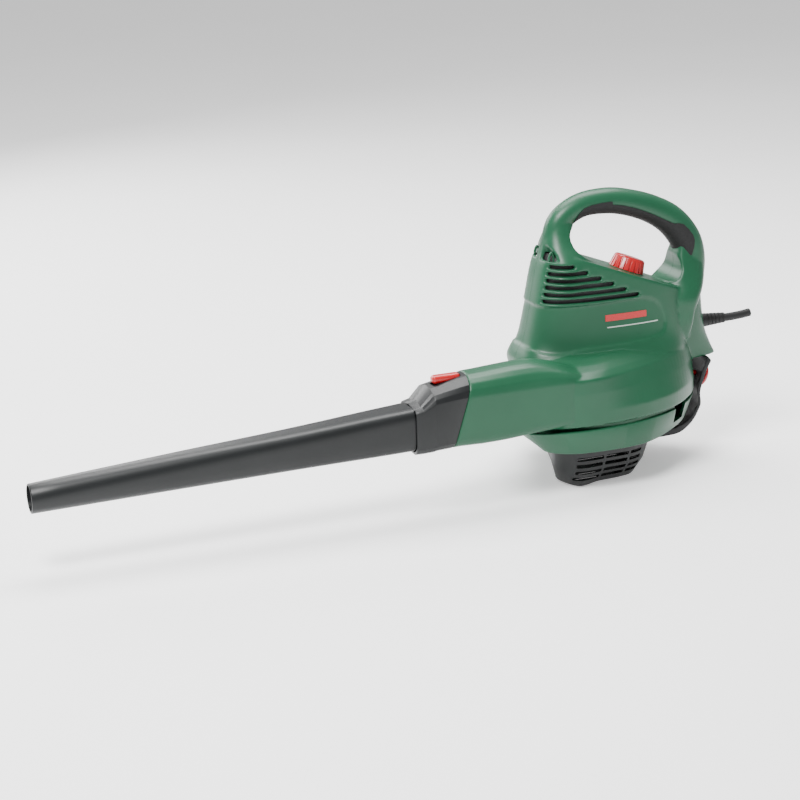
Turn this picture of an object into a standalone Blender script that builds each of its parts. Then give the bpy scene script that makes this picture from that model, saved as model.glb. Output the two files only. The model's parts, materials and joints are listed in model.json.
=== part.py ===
# Corded leaf blower: fan and motor on one upright axis, outlet duct towards -X, handle in the XZ plane.
# Units are metres, +Z is up, and the origin is the middle of the guard's flat underside on the fan axis.
import math

import bmesh
import bpy
from mathutils import Euler, Matrix, Vector

# ---- driving dimensions ----
GAP = 0.0003                    # clearance between touching pieces
WALL = 0.003                    # moulded wall thickness
MERGE = 0.00001                 # points closer than this are one point
GUARD_TOP = 0.0485              # rim of the intake guard
COVER_BOTTOM = 0.050            # underside of the lower fan cover
COVER_TOP = 0.079               # top edge of the lower fan cover
HOUSING_BOTTOM = 0.083          # lower edge of the two housing shells
RIDGE_Z = 0.139                 # edge between the fan housing's wall and its top
TOWER_TOP = 0.290
DECK_POINT = (0.0, 0.0, 0.2445)  # a point on the sloping deck under the handle
DECK_TILT = math.radians(21.0)  # the deck falls towards the rear

DUCT_Y = -0.0775                # the outlet duct's middle plane
DUCT_HALF = 0.0315
DUCT_BOTTOM = 0.0797
DUCT_TOP = 0.160
SEAM_TOP_X = -0.217             # the slanted joint between duct and tube collar
SEAM_SLOPE = 0.32               # how far the joint moves forward for each metre down
NOZZLE_X = -0.7195
NOZZLE_Z = 0.0862
NOZZLE_RADIUS = 0.0165
COLLAR_FRONT_X = -0.285
SLEEVE_FRONT_X = -0.258

FAN_RADIUS = 0.070
FAN_BACK_Z = 0.121              # top face of the impeller's back disc
FAN_BLADES = 8
SHAFT_RADIUS = 0.004
MOTOR_PLATE_Z = 0.127
STATOR_BOTTOM = 0.156
STATOR_TOP = 0.188
STATOR_RADIUS = 0.037
ROTOR_RADIUS = 0.019
COMMUTATOR_RADIUS = 0.011
COMMUTATOR_BOTTOM = 0.194
BRUSH_Z = 0.201
UPPER_BEARING_Z = 0.2105
POST_Y = 0.0325                 # the motor screws' distance from the shaft

DIAL_X = 0.026
DIAL_RADIUS = 0.0215
DIAL_HEIGHT = 0.017
INTAKE_RADIUS = 0.038
HINGE = (-0.1045, -0.055, 0.0480) # front hook that the guard swings on
HOOK_HALF = 0.0145
LOCK_POINT = (0.1235, 0.0, 0.093)
LOCK_TILT = math.radians(21.0)
CORD_RADIUS = 0.005
CORD_EXIT = (0.1335, 0.0, 0.1595)
BUTTON_X = -0.2395
SPRING_TURNS = 4
SIDES = 32                      # sides of the large round pieces
SMALL_SIDES = 16                # sides of the small round pieces

SHELL_SCREWS = ((-0.080, 0.222), (-0.098, 0.163), (0.098, 0.190), (0.104, 0.132), (-0.012, 0.3265), (0.1145, 0.2495))

COLOURS = {                     # base colour, roughness, metallic
    "green": ((0.045, 0.19, 0.115), 0.35, 0.0),
    "black": ((0.02, 0.023, 0.024), 0.45, 0.0),
    "grip": ((0.015, 0.015, 0.016), 0.75, 0.0),
    "red": ((0.65, 0.012, 0.015), 0.35, 0.0),
    "cable": ((0.012, 0.012, 0.012), 0.6, 0.0),
    "fan": ((0.05, 0.05, 0.055), 0.5, 0.0),
    "steel": ((0.6, 0.6, 0.62), 0.3, 1.0),
    "laminations": ((0.28, 0.28, 0.3), 0.45, 1.0),
    "copper": ((0.72, 0.33, 0.14), 0.35, 1.0),
    "brass": ((0.75, 0.55, 0.25), 0.35, 1.0),
    "carbon": ((0.03, 0.03, 0.03), 0.7, 0.0),
    "resin": ((0.35, 0.31, 0.24), 0.55, 0.0),
    "blue_film": ((0.03, 0.10, 0.35), 0.4, 0.0),
    "brown_wire": ((0.16, 0.06, 0.02), 0.5, 0.0),
    "blue_wire": ((0.02, 0.08, 0.35), 0.5, 0.0),
}

parts = bpy.data.collections.new("leaf_blower")


# ---- small helpers ----
def clear_scene():
    for item in list(bpy.data.objects):
        bpy.data.objects.remove(item, do_unlink=True)
    bpy.context.scene.collection.children.link(parts)


def material(name):
    found = bpy.data.materials.get(name)
    if found:
        return found
    colour, roughness, metallic = COLOURS[name]
    made = bpy.data.materials.new(name)
    made.use_nodes = True
    shader = made.node_tree.nodes["Principled BSDF"]
    shader.inputs["Base Color"].default_value = (*colour, 1.0)
    shader.inputs["Roughness"].default_value = roughness
    shader.inputs["Metallic"].default_value = metallic
    return made


def solid(bm, name="piece"):
    """Turn a bmesh into an object in the parts collection."""
    bmesh.ops.recalc_face_normals(bm, faces=bm.faces)
    mesh = bpy.data.meshes.new(name)
    bm.to_mesh(mesh)
    bm.free()
    made = bpy.data.objects.new(name, mesh)
    parts.objects.link(made)
    return made


def combine(target, others, operation):
    """Apply booleans of the other objects to the target's mesh, and remove the others."""
    for other in others:
        modifier = target.modifiers.new("boolean", "BOOLEAN")
        modifier.operation = operation
        modifier.solver = "EXACT"
        modifier.object = other
    graph = bpy.context.evaluated_depsgraph_get()
    mesh = bpy.data.meshes.new_from_object(target.evaluated_get(graph))
    target.modifiers.clear()
    target.data = tidy(mesh)
    for other in others:
        bpy.data.objects.remove(other, do_unlink=True)
    return target


def tidy(mesh):
    """Merge the slivers that a boolean leaves."""
    bm = bmesh.new()
    bm.from_mesh(mesh)
    bmesh.ops.remove_doubles(bm, verts=bm.verts, dist=MERGE)
    bmesh.ops.dissolve_degenerate(bm, edges=bm.edges, dist=MERGE)
    bm.to_mesh(mesh)
    bm.free()
    return mesh


def join(target, *others):
    return combine(target, others, "UNION")


def cut(target, *others):
    return combine(target, others, "DIFFERENCE")


def keep_inside(target, *others):
    return combine(target, others, "INTERSECT")


def finish(made, name, colour):
    """Name a piece, give it its material and shade it smooth where it is round."""
    made.name = name
    made.data.name = name
    made.data.materials.clear()
    made.data.materials.append(material(colour))
    made.data.shade_smooth()
    made.data.set_sharp_from_angle(angle=math.radians(35))
    return made


def copy_of(made):
    twin = made.copy()
    twin.data = made.data.copy()
    parts.objects.link(twin)
    return twin


def box(low, high):
    bm = bmesh.new()
    size = Vector(high) - Vector(low)
    middle = (Vector(high) + Vector(low)) / 2
    bmesh.ops.create_cube(bm, size=1.0, matrix=Matrix.Translation(middle) @ Matrix.Diagonal((*size, 1.0)))
    return solid(bm)


def along(direction):
    """A rotation that turns +Z to the direction."""
    return Vector(direction).to_track_quat("Z", "Y").to_matrix().to_4x4()


def rod(start, end, radius, sides=SMALL_SIDES, end_radius=None):
    """A round bar, or a cone when an end radius is given."""
    start = Vector(start)
    run = Vector(end) - start
    bm = bmesh.new()
    place = Matrix.Translation(start + run / 2) @ along(run)
    bmesh.ops.create_cone(bm, cap_ends=True, segments=sides, radius1=radius,
                          radius2=radius if end_radius is None else end_radius, depth=run.length, matrix=place)
    return solid(bm)


def disc(bottom, top, radius, sides=SIDES, x=0.0, y=0.0):
    return rod((x, y, bottom), (x, y, top), radius, sides)


def washer(bottom, top, radius, bore, sides=SIDES):
    return cut(disc(bottom, top, radius, sides), disc(bottom - 0.01, top + 0.01, bore, sides))


def loft(loops):
    """A closed solid through loops of equal count, with a flat cap at each end."""
    bm = bmesh.new()
    rings = [[bm.verts.new(point) for point in loop] for loop in loops]
    for lower, upper in zip(rings, rings[1:]):
        for index in range(len(lower)):
            after = (index + 1) % len(lower)
            bm.faces.new((lower[index], lower[after], upper[after], upper[index]))
    bm.faces.new(rings[0])
    bm.faces.new(rings[-1])
    bmesh.ops.triangulate(bm, faces=[face for face in bm.faces if len(face.verts) == 4])
    return solid(bm)


def smooth_closed(points, steps):
    """Points along a closed curve that passes smoothly through the given ones."""
    result = []
    count = len(points)
    for index in range(count):
        before, here, after, beyond = (Vector(points[(index + shift) % count]) for shift in (-1, 0, 1, 2))
        for step in range(steps):
            t = step / steps
            result.append(0.5 * (2 * here + (after - before) * t
                                 + (2 * before - 5 * here + 4 * after - beyond) * t ** 2
                                 + (3 * here - before - 3 * after + beyond) * t ** 3))
    return result


def smooth_open(points, steps):
    """Points along an open curve that passes smoothly through the given ones."""
    points = [Vector(point) for point in points]
    padded = [2 * points[0] - points[1], *points, 2 * points[-1] - points[-2]]
    result = []
    for before, here, after, beyond in zip(padded, padded[1:], padded[2:], padded[3:]):
        for step in range(steps):
            t = step / steps
            result.append(0.5 * (2 * here + (after - before) * t
                                 + (2 * before - 5 * here + 4 * after - beyond) * t ** 2
                                 + (3 * here - before - 3 * after + beyond) * t ** 3))
    result.append(points[-1])
    return result


def inset_loop(points, amount):
    """Move a closed flat loop, listed anticlockwise, inwards by an amount."""
    result = []
    count = len(points)
    for index, point in enumerate(points):
        run = Vector(points[(index + 1) % count]) - Vector(points[index - 1])
        inward = Vector((-run.y, run.x)).normalized()
        result.append(Vector((point[0], point[1])) + inward * amount)
    return result


def scaled_loop(points, factor, centre=(-0.006, -0.004)):
    """Draw a flat loop together towards a centre."""
    middle = Vector(centre)
    return [middle + (Vector((point[0], point[1])) - middle) * factor for point in points]


def at_height(loop, z):
    return [(point[0], point[1], z) for point in loop]


def extruded(outline, low_y, high_y):
    """A flat XZ outline made solid between two Y values."""
    return loft([[(x, low_y, z) for x, z in outline], [(x, high_y, z) for x, z in outline]])


def tube_along(points, radii, bevel_resolution):
    """A round bar along a path, with its own radius at each point, as a welded mesh."""
    data = bpy.data.curves.new("path", "CURVE")
    data.dimensions = "3D"
    data.bevel_depth = 1.0
    data.bevel_resolution = bevel_resolution
    data.use_fill_caps = True
    spline = data.splines.new("POLY")
    spline.points.add(len(points) - 1)
    for node, point, radius in zip(spline.points, points, radii):
        node.co = (*point, 1.0)
        node.radius = radius
    path = bpy.data.objects.new("path", data)
    parts.objects.link(path)
    graph = bpy.context.evaluated_depsgraph_get()
    mesh = bpy.data.meshes.new_from_object(path.evaluated_get(graph))
    bm = bmesh.new()
    bm.from_mesh(mesh)
    bmesh.ops.remove_doubles(bm, verts=bm.verts, dist=0.00001)
    bpy.data.objects.remove(path, do_unlink=True)
    return solid(bm)


# ---- outer forms of the housing ----
FAN_OUTLINE = ((0.1130, 0.000), (0.102, 0.048), (0.061, 0.092), (0.000, 0.106), (-0.058, 0.096), (-0.102, 0.060),
               (-0.118, 0.005), (-0.119, -0.035), (-0.110, -0.078), (-0.078, -0.106), (-0.032, -0.1105),
               (0.012, -0.100), (0.056, -0.078), (0.0945, -0.041))
FAN_SHOULDER = ((0.102, 0.000), (0.088, 0.045), (0.050, 0.082), (0.000, 0.096), (-0.055, 0.089), (-0.097, 0.056),
                (-0.115, 0.005), (-0.117, -0.035), (-0.108, -0.078), (-0.076, -0.105), (-0.034, -0.101),
                (0.006, -0.083), (0.044, -0.062), (0.080, -0.034))
COVER_RIM = ((0.1120, 0.000), (0.101, 0.047), (0.060, 0.091), (0.000, 0.105), (-0.060, 0.100), (-0.110, 0.072),
             (-0.128, 0.015), (-0.143, -0.040), (-0.146, -0.084), (-0.100, -0.108), (-0.040, -0.1105),
             (0.012, -0.099), (0.055, -0.077), (0.0935, -0.041))
COVER_FOOT = ((0.101, 0.000), (0.090, 0.045), (0.054, 0.084), (0.000, 0.098), (-0.040, 0.092), (-0.066, 0.064),
              (-0.084, 0.016), (-0.100, -0.030), (-0.118, -0.076), (-0.090, -0.102), (-0.040, -0.107),
              (0.005, -0.100), (0.048, -0.072), (0.085, -0.036))
GUARD_RIM = ((0.046, 0.000), (0.052, 0.030), (0.046, 0.058), (0.015, 0.080), (-0.030, 0.082), (-0.062, 0.056),
             (-0.081, 0.014), (-0.094, -0.030), (-0.101, -0.070), (-0.082, -0.094), (-0.040, -0.097),
             (-0.005, -0.093), (0.020, -0.074), (0.036, -0.036))
GUARD_FOOT = ((0.026, 0.000), (0.030, 0.025), (0.020, 0.045), (-0.004, 0.055), (-0.032, 0.052), (-0.054, 0.034),
              (-0.067, 0.006), (-0.078, -0.020), (-0.087, -0.045), (-0.074, -0.078), (-0.045, -0.071),
              (-0.016, -0.068), (0.004, -0.060), (0.016, -0.032))
# height, front, rear and half width of the tower's flat sections
TOWER = ((0.128, 0.112, 0.098, 0.066), (0.150, 0.116, 0.100, 0.061), (0.162, 0.113, 0.104, 0.053),
         (0.178, 0.108, 0.106, 0.050), (0.200, 0.103, 0.106, 0.049), (0.238, 0.094, 0.104, 0.047),
         (0.262, 0.087, 0.100, 0.043), (TOWER_TOP, 0.078, 0.090, 0.036))
# height, rear and half width of the rear spine's flat sections, all centred on the root
SPINE_ROOT_X = 0.070
SPINE = ((0.119, 0.145, 0.021), (0.132, 0.138, 0.024), (0.150, 0.130, 0.028), (0.170, 0.125, 0.031),
         (0.198, 0.122, 0.032), (0.222, 0.124, 0.022))
# the handle's middle line in the XZ plane, with its radius
HANDLE = ((-0.071, 0.262, 0.0150), (-0.068, 0.280, 0.0150), (-0.060, 0.304, 0.0140), (-0.034, 0.3195, 0.0140),
          (0.000, 0.3220, 0.0150), (0.030, 0.3165, 0.0155), (0.060, 0.3055, 0.0165), (0.086, 0.289, 0.0180),
          (0.105, 0.265, 0.0185), (0.1115, 0.240, 0.0185), (0.109, 0.215, 0.0170), (0.104, 0.195, 0.0150))


def egg(front, rear, half, z, middle=0.0, steps=7, front_power=2.7, rear_power=2.2):
    """A flat closed section, blunt to the front and rounder to the rear."""
    result = []
    for index in range(4 * steps):
        turn = 2 * math.pi * index / (4 * steps)
        cosine, sine = math.cos(turn), math.sin(turn)
        power = rear_power if cosine > 0 else front_power
        reach = rear if cosine > 0 else front
        x = math.copysign(reach * abs(cosine) ** (2 / power), cosine)
        y = math.copysign(half * abs(sine) ** (2 / power), sine)
        result.append((middle + x, y, z))
    return result


def fan_volume(shrink, bottom, top_drop):
    """The fan housing: an upright wall, then a low sloping top towards the tower."""
    wall = inset_loop(smooth_closed(FAN_OUTLINE, 2), shrink)
    shoulder = inset_loop(smooth_closed(FAN_SHOULDER, 2), shrink)
    return loft([at_height(wall, bottom), at_height(wall, 0.100), at_height(shoulder, RIDGE_Z - top_drop),
                 at_height(scaled_loop(shoulder, 0.78), 0.149 - top_drop),
                 at_height(scaled_loop(shoulder, 0.58), 0.154 - top_drop)])


def tower_volume(shrink):
    return loft([egg(front - shrink, rear - shrink, half - shrink, z) for z, front, rear, half in TOWER])


def spine_volume(shrink):
    loops = []
    for z, rear, half in SPINE:
        height = z + shrink if z == SPINE[0][0] else z
        loops.append(egg(0.030, rear - SPINE_ROOT_X - shrink, half - shrink, height, SPINE_ROOT_X, 4, 2.0, 2.6))
    return loft(loops)


def deck_cutter(drop):
    """Everything between the handle's legs above the sloping deck."""
    normal = Vector((math.sin(DECK_TILT), 0.0, math.cos(DECK_TILT)))
    turn = Euler((0.0, DECK_TILT, 0.0)).to_matrix().to_4x4()
    place = Matrix.Translation(Vector(DECK_POINT) - normal * drop) @ turn
    bm = bmesh.new()
    shape = Matrix.Translation((0.010, 0.0, 0.060)) @ Matrix.Diagonal((0.40, 0.20, 0.120, 1.0))
    bmesh.ops.create_cube(bm, size=1.0, matrix=place @ shape)
    return solid(bm)


def handle_volume(shrink, steps=2):
    line = smooth_open([(x, 0.0, z) for x, z, radius in HANDLE], steps)
    radii = smooth_open([(radius, 0.0, 0.0) for x, z, radius in HANDLE], steps)
    return tube_along(line, [radius.x - shrink for radius in radii], 3)


def seam_x(z):
    return SEAM_TOP_X - (DUCT_TOP - z) * SEAM_SLOPE


def duct_section(x_of_z, half, bottom, ridge, top, middle=DUCT_Y):
    """A flat-sided section with chamfered upper corners, across the outlet duct."""
    flat = half * 0.55
    profile = ((-half, bottom + 0.008), (-half + 0.008, bottom), (half - 0.008, bottom), (half, bottom + 0.008),
               (half, ridge), (half * 0.86, ridge + (top - ridge) * 0.45), (flat, top - 0.0030), (flat * 0.4, top),
               (-flat * 0.4, top), (-flat, top - 0.0030), (-half * 0.86, ridge + (top - ridge) * 0.45),
               (-half, ridge))
    return [(x_of_z(z), middle + y, z) for y, z in profile]


def duct_volume(shrink, front_shift):
    """The outlet duct, from inside the fan housing to the joint with the tube."""
    half, bottom, ridge = DUCT_HALF - shrink, DUCT_BOTTOM + shrink, RIDGE_Z - shrink * 0.4
    return loft([duct_section(lambda z: seam_x(z) + front_shift, half, bottom, ridge, DUCT_TOP - shrink),
                 duct_section(lambda z: -0.150, half, bottom, ridge, DUCT_TOP + 0.004 - shrink),
                 duct_section(lambda z: -0.092, half, bottom, ridge, DUCT_TOP - 0.001 - shrink)])


def bosses(direction):
    """Screw bosses along Y on one side of the middle plane, each merged into its shell later."""
    return [rod((x, 0.0, z), (x, direction * 0.060, z), 0.0052, 12) for x, z in SHELL_SCREWS]


def housing_solid():
    outer = join(tower_volume(0.0), spine_volume(0.0))
    cut(outer, deck_cutter(0.0))
    join(outer, fan_volume(0.0, HOUSING_BOTTOM, 0.0), duct_volume(0.0, 0.0), handle_volume(0.0))
    return outer


def housing_shells():
    """The two hollow halves of the casing, which meet on the middle plane."""
    cavity = tower_volume(WALL)
    cut(cavity, deck_cutter(WALL))
    join(cavity, spine_volume(WALL), fan_volume(WALL, HOUSING_BOTTOM - 0.010, WALL),
         duct_volume(WALL, -0.010), handle_volume(0.0060))
    shell = cut(housing_solid(), cavity)
    normal = Vector((math.sin(DECK_TILT), 0.0, math.cos(DECK_TILT)))
    deck = deck_at(DIAL_X)
    cutters = [rod(deck - normal * 0.012, deck + normal * 0.012, 0.0042),
               rod((0.112, 0.0, CORD_EXIT[2]), (0.150, 0.0, CORD_EXIT[2]), 0.0086),
               box((-0.0805, -0.05, 0.264), (-0.0715, 0.05, 0.282))]
    cutters += vent_cutters(-1) + vent_cutters(1)
    cut(shell, *cutters)
    join(shell, lock_socket())
    cut(shell, lock_slot())
    return shell


def deck_at(x):
    return Vector((x, 0.0, DECK_POINT[2] - x * math.tan(DECK_TILT)))


def vent_cutters(side):
    """Six level slots in the tower's side, shorter towards the bottom front."""
    made = []
    for row in range(6):
        z = 0.2155 + row * 0.0088
        front = -0.104 + row * 0.0026
        rear = 0.018 - row * 0.0175
        low, high = sorted((side * 0.024, side * 0.075))
        made.append(box((front, low, z), (rear, high, z + 0.0044)))
    return made


def lock_socket():
    """The open-bottomed catch behind the fan housing, which the lock's stem sits in."""
    return box((0.1045, -0.0095, 0.0855), (0.1150, 0.0095, 0.1060))


def lock_slot():
    slot = box((0.1090, -0.0039, 0.0700), (0.1300, 0.0039, 0.0965))
    return join(slot, rod((0.1090, 0.0, 0.0965), (0.1300, 0.0, 0.0965), 0.0039))


def screw_holes(y_head):
    """Clearance bores for the shell screws, with a counterbore for each head."""
    made = []
    for x, z in SHELL_SCREWS:
        made.append(rod((x, -0.0100, z), (x, 0.08, z), 0.0022, 12))
        made.append(rod((x, y_head(x, z), z), (x, 0.08, z), 0.0042, 12))
    return made


def head_seat(x, z):
    """How far from the middle plane a shell screw's head sits."""
    return 0.0075 if z > 0.24 or z < 0.14 else 0.0150


# ---- static pieces ----
def make_housing():
    shell = cut(housing_shells(), grip_volume(GAP, 0.001))
    for name, direction in (("housing_left", -1), ("housing_right", 1)):
        half = copy_of(shell)
        low, high = sorted((direction * GAP / 2, direction * 0.2))
        keep = box((-0.4, low, 0.0), (0.3, high, 0.5))
        inner = housing_core()
        posts = bosses(direction)
        for post in posts:
            keep_inside(post, copy_of(inner))
        bpy.data.objects.remove(inner, do_unlink=True)
        join(half, *posts)
        keep_inside(half, keep)
        cut(half, *screw_holes(head_seat))
        finish(half, name, "green")
    bpy.data.objects.remove(shell, do_unlink=True)
    finish(grip_volume(0.0, 0.0), "grip_insert", "grip")


def housing_core():
    """The casing's outer form drawn in by half a wall, which trims the screw bosses."""
    core = join(tower_volume(WALL / 2), spine_volume(WALL / 2))
    cut(core, deck_cutter(WALL / 2))
    return join(core, fan_volume(WALL / 2, HOUSING_BOTTOM, WALL / 2), handle_volume(WALL / 2))


def grip_volume(grow, proud):
    """The soft lining of the handle: a skin on its inner side."""
    reach = [(x, z) for x, z, radius in HANDLE[3:10]]
    skin = cut(handle_volume(-proud), handle_volume(0.0028 + grow))
    zone_line = []
    middle = Vector((0.030, 0.262))
    for x, z in reach:
        inward = (middle - Vector((x, z))).normalized()
        point = Vector((x, z)) + inward * 0.0170
        zone_line.append((point.x, 0.0, point.y))
    first, second = Vector(zone_line[0]), Vector(zone_line[1])
    last, before = Vector(zone_line[-1]), Vector(zone_line[-2])
    zone_line[0] = first + (first - second).normalized() * grow
    zone_line[-1] = last + (last - before).normalized() * grow
    line = smooth_open(zone_line, 3)
    zone = tube_along(line, [0.0175 + grow] * len(line), 4)
    return keep_inside(skin, zone)


def lip_volume(inset, low, high):
    """The space inside the cover's raised lip, drawn in towards the cover's floor."""
    outline = smooth_closed(FAN_OUTLINE, 2)
    upper = inset_loop(outline, inset)
    lower = inset_loop(smooth_closed(COVER_FOOT, 2), inset + 0.0010)
    return loft([at_height(lower, low), at_height(upper, 0.0720), at_height(upper, high)])


def make_cover():
    """The lower fan cover, with the round intake and a raised inner lip."""
    rim = smooth_closed(COVER_RIM, 2)
    foot = smooth_closed(COVER_FOOT, 2)
    cover = loft([at_height(foot, COVER_BOTTOM), at_height(rim, COVER_TOP)])
    hollow = loft([at_height(inset_loop(foot, WALL), COVER_BOTTOM + WALL),
                   at_height(inset_loop(rim, WALL), COVER_TOP + 0.001)])
    cut(cover, hollow)
    lip = cut(lip_volume(0.0045, COVER_BOTTOM + 0.001, HOUSING_BOTTOM - GAP),
              lip_volume(0.0070, COVER_BOTTOM, HOUSING_BOTTOM + 0.010))
    join(cover, lip, disc(COVER_BOTTOM + 0.001, COVER_BOTTOM + 0.012, INTAKE_RADIUS + 0.004))
    cut(cover, disc(COVER_BOTTOM - 0.01, COVER_BOTTOM + 0.03, INTAKE_RADIUS))
    hinge_x, hinge_y, _ = HINGE
    hook_slot = box((hinge_x - 0.0160, hinge_y - 0.0165, 0.0480), (hinge_x + 0.0060, hinge_y + 0.0165, 0.0600))
    rear_opening = box((0.0530, -0.0900, 0.0590), (0.0740, -0.0450, 0.0850))
    cut(cover, hook_slot, rear_opening)
    return finish(cover, "fan_cover", "green")


def make_sleeve():
    """The inner sleeve at the duct's mouth, which the tube's collar pushes onto."""
    half = 0.0240
    front = duct_section(lambda z: SLEEVE_FRONT_X, half, 0.0840, 0.1200, 0.1380)
    rear = duct_section(lambda z: -0.1950, half, 0.0840, 0.1200, 0.1380)
    sleeve = loft([front, rear])
    flange_half = DUCT_HALF - WALL - GAP
    flange = loft([duct_section(lambda z: seam_x(z) + shift, flange_half, DUCT_BOTTOM + WALL + GAP,
                                RIDGE_Z - 0.0016, DUCT_TOP - WALL - GAP) for shift in (0.004, 0.007)])
    join(sleeve, flange)
    wall = 0.0022
    bore = loft([duct_section(lambda z: x, half - wall, 0.0840 + wall, 0.1200 - wall / 2, 0.1380 - wall)
                 for x in (SLEEVE_FRONT_X - 0.01, -0.1850)])
    return finish(cut(sleeve, bore), "outlet_sleeve", "black")


def make_cord():
    """The mains lead's visible stub, its tapered sleeve and the clamp inside the rear spine."""
    x, y, z = CORD_EXIT
    boot_end = (x + 0.026, y, z - 0.0003)
    route = [(0.1010, 0.0, z), (0.1180, 0.0, z), (x, 0.0, z), (x + 0.0120, 0.0, z - 0.0001), boot_end,
             (x + 0.0400, 0.0, z + 0.0001), (x + 0.0520, 0.0, z + 0.0010), (x + 0.0610, 0.0, z + 0.0022)]
    line = smooth_open(route, 2)
    cord = tube_along(line, [CORD_RADIUS] * len(line), 3)
    finish(cord, "mains_cord", "cable")
    boot = join(rod((0.1150, 0.0, z), (x + 0.0005, 0.0, z), 0.0083, 24),
                rod((x - 0.0005, 0.0, z), boot_end, 0.0078, 24, 0.0060))
    bore = tube_along(line, [CORD_RADIUS + GAP] * len(line), 3)
    finish(cut(boot, bore), "strain_relief", "black")
    clamp = box((0.0985, -0.0150, z + CORD_RADIUS + GAP), (0.1100, 0.0150, z + CORD_RADIUS + GAP + 0.0035))
    holes = [rod((0.1040, side * 0.0110, z), (0.1040, side * 0.0110, z + 0.02), 0.0019, 12) for side in (-1, 1)]
    finish(cut(clamp, *holes), "cord_clamp", "black")
    for number, side in ((1, -1), (2, 1)):
        top = z + CORD_RADIUS + GAP + 0.0035
        place = (0.1040, side * 0.0110)
        screw = join(rod((*place, z - 0.0060), (*place, top + 0.001), 0.0016, 12),
                     rod((*place, top + GAP), (*place, top + 0.0026), 0.0030, 12))
        finish(screw, "clamp_screw_%d" % number, "steel")


def make_leads():
    """The two insulated wires from the mains lead to the control module."""
    for name, side, colour in (("lead_live", -1, "brown_wire"), ("lead_neutral", 1, "blue_wire")):
        route = [(0.1000, side * 0.0018, 0.1595), (0.0920, side * 0.0045, 0.1610), (0.0780, side * 0.0110, 0.1720),
                 (0.0660, side * 0.0140, 0.1880), (0.0560, side * 0.0120, 0.2010), (0.0440, side * 0.0080, 0.2070)]
        line = smooth_open(route, 3)
        finish(tube_along(line, [0.0013] * len(line), 2), name, colour)


# ---- motor and fan ----
def make_motor_frame():
    edge = inset_loop(smooth_closed(FAN_SHOULDER, 2), WALL + 2 * GAP)
    plate = loft([at_height(edge, MOTOR_PLATE_Z), at_height(edge, MOTOR_PLATE_Z + 0.003)])
    hub = disc(MOTOR_PLATE_Z + 0.002, MOTOR_PLATE_Z + 0.0165, 0.0150, 24)
    posts = [disc(MOTOR_PLATE_Z + 0.002, STATOR_BOTTOM - GAP, 0.0045, 12, 0.0, side * POST_Y) for side in (-1, 1)]
    baffle = box((-0.1125, -0.0960, MOTOR_PLATE_Z + 0.001), (-0.1105, -0.0530, 0.1430))
    join(plate, hub, baffle, *posts)
    cut(plate, disc(MOTOR_PLATE_Z + 0.0060, 0.20, 0.0113, 24), disc(0.10, 0.20, 0.0062, 24))
    windows = []
    for index in range(6):
        turn = math.radians(30 + 60 * index)
        windows.append(disc(0.10, MOTOR_PLATE_Z + 0.01, 0.0050, 8, 0.0245 * math.cos(turn), 0.0245 * math.sin(turn)))
    cut(plate, *windows)
    holes = [disc(MOTOR_PLATE_Z + 0.0100, 0.20, 0.0020, 12, 0.0, side * POST_Y) for side in (-1, 1)]
    finish(cut(plate, *holes), "motor_plate", "black")
    finish(washer(MOTOR_PLATE_Z + 0.0065, MOTOR_PLATE_Z + 0.0135, 0.0110, SHAFT_RADIUS + GAP, 24),
           "lower_bearing", "steel")
    finish(washer(UPPER_BEARING_Z, UPPER_BEARING_Z + 0.006, 0.0095, SHAFT_RADIUS + GAP, 24), "upper_bearing", "steel")
    bracket = disc(UPPER_BEARING_Z - 0.002, UPPER_BEARING_Z + 0.008, 0.0125, 24)
    join(bracket, box((-0.0050, -0.0360, UPPER_BEARING_Z + 0.0010), (0.0050, 0.0360, UPPER_BEARING_Z + 0.0070)))
    legs = []
    for side in (-1, 1):
        low, high = sorted((side * 0.0290, side * 0.0362))
        legs.append(box((-0.0052, low, STATOR_TOP + GAP), (0.0052, high, UPPER_BEARING_Z + 0.0072)))
    join(bracket, *legs)
    holes = [disc(0.18, 0.23, 0.0022, 12, 0.0, side * POST_Y) for side in (-1, 1)]
    cut(bracket, disc(UPPER_BEARING_Z - 0.01, UPPER_BEARING_Z + 0.0063, 0.0098, 24), *holes)
    finish(bracket, "motor_bracket", "black")
    for number, side in ((1, -1), (2, 1)):
        top = UPPER_BEARING_Z + 0.0072
        screw = join(disc(MOTOR_PLATE_Z + 0.0110, top + 0.001, 0.0017, 12, 0.0, side * POST_Y),
                     disc(top + GAP, top + 0.0030, 0.0034, 12, 0.0, side * POST_Y))
        finish(screw, "motor_screw_%d" % number, "steel")


def coil_windows(radius_low, radius_high, half_width):
    """Four upright bars through the stator, two for each field coil."""
    made = []
    for angle in (-40, 40, 140, 220):
        bm = bmesh.new()
        middle = (radius_low + radius_high) / 2
        turn = Matrix.Rotation(math.radians(angle), 4, "Z")
        shape = Matrix.Diagonal((radius_high - radius_low, 2 * half_width, 0.050, 1.0))
        place = turn @ Matrix.Translation((middle, 0.0, (STATOR_BOTTOM + STATOR_TOP) / 2)) @ shape
        bmesh.ops.create_cube(bm, size=1.0, matrix=place)
        made.append(solid(bm))
    return made


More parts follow.
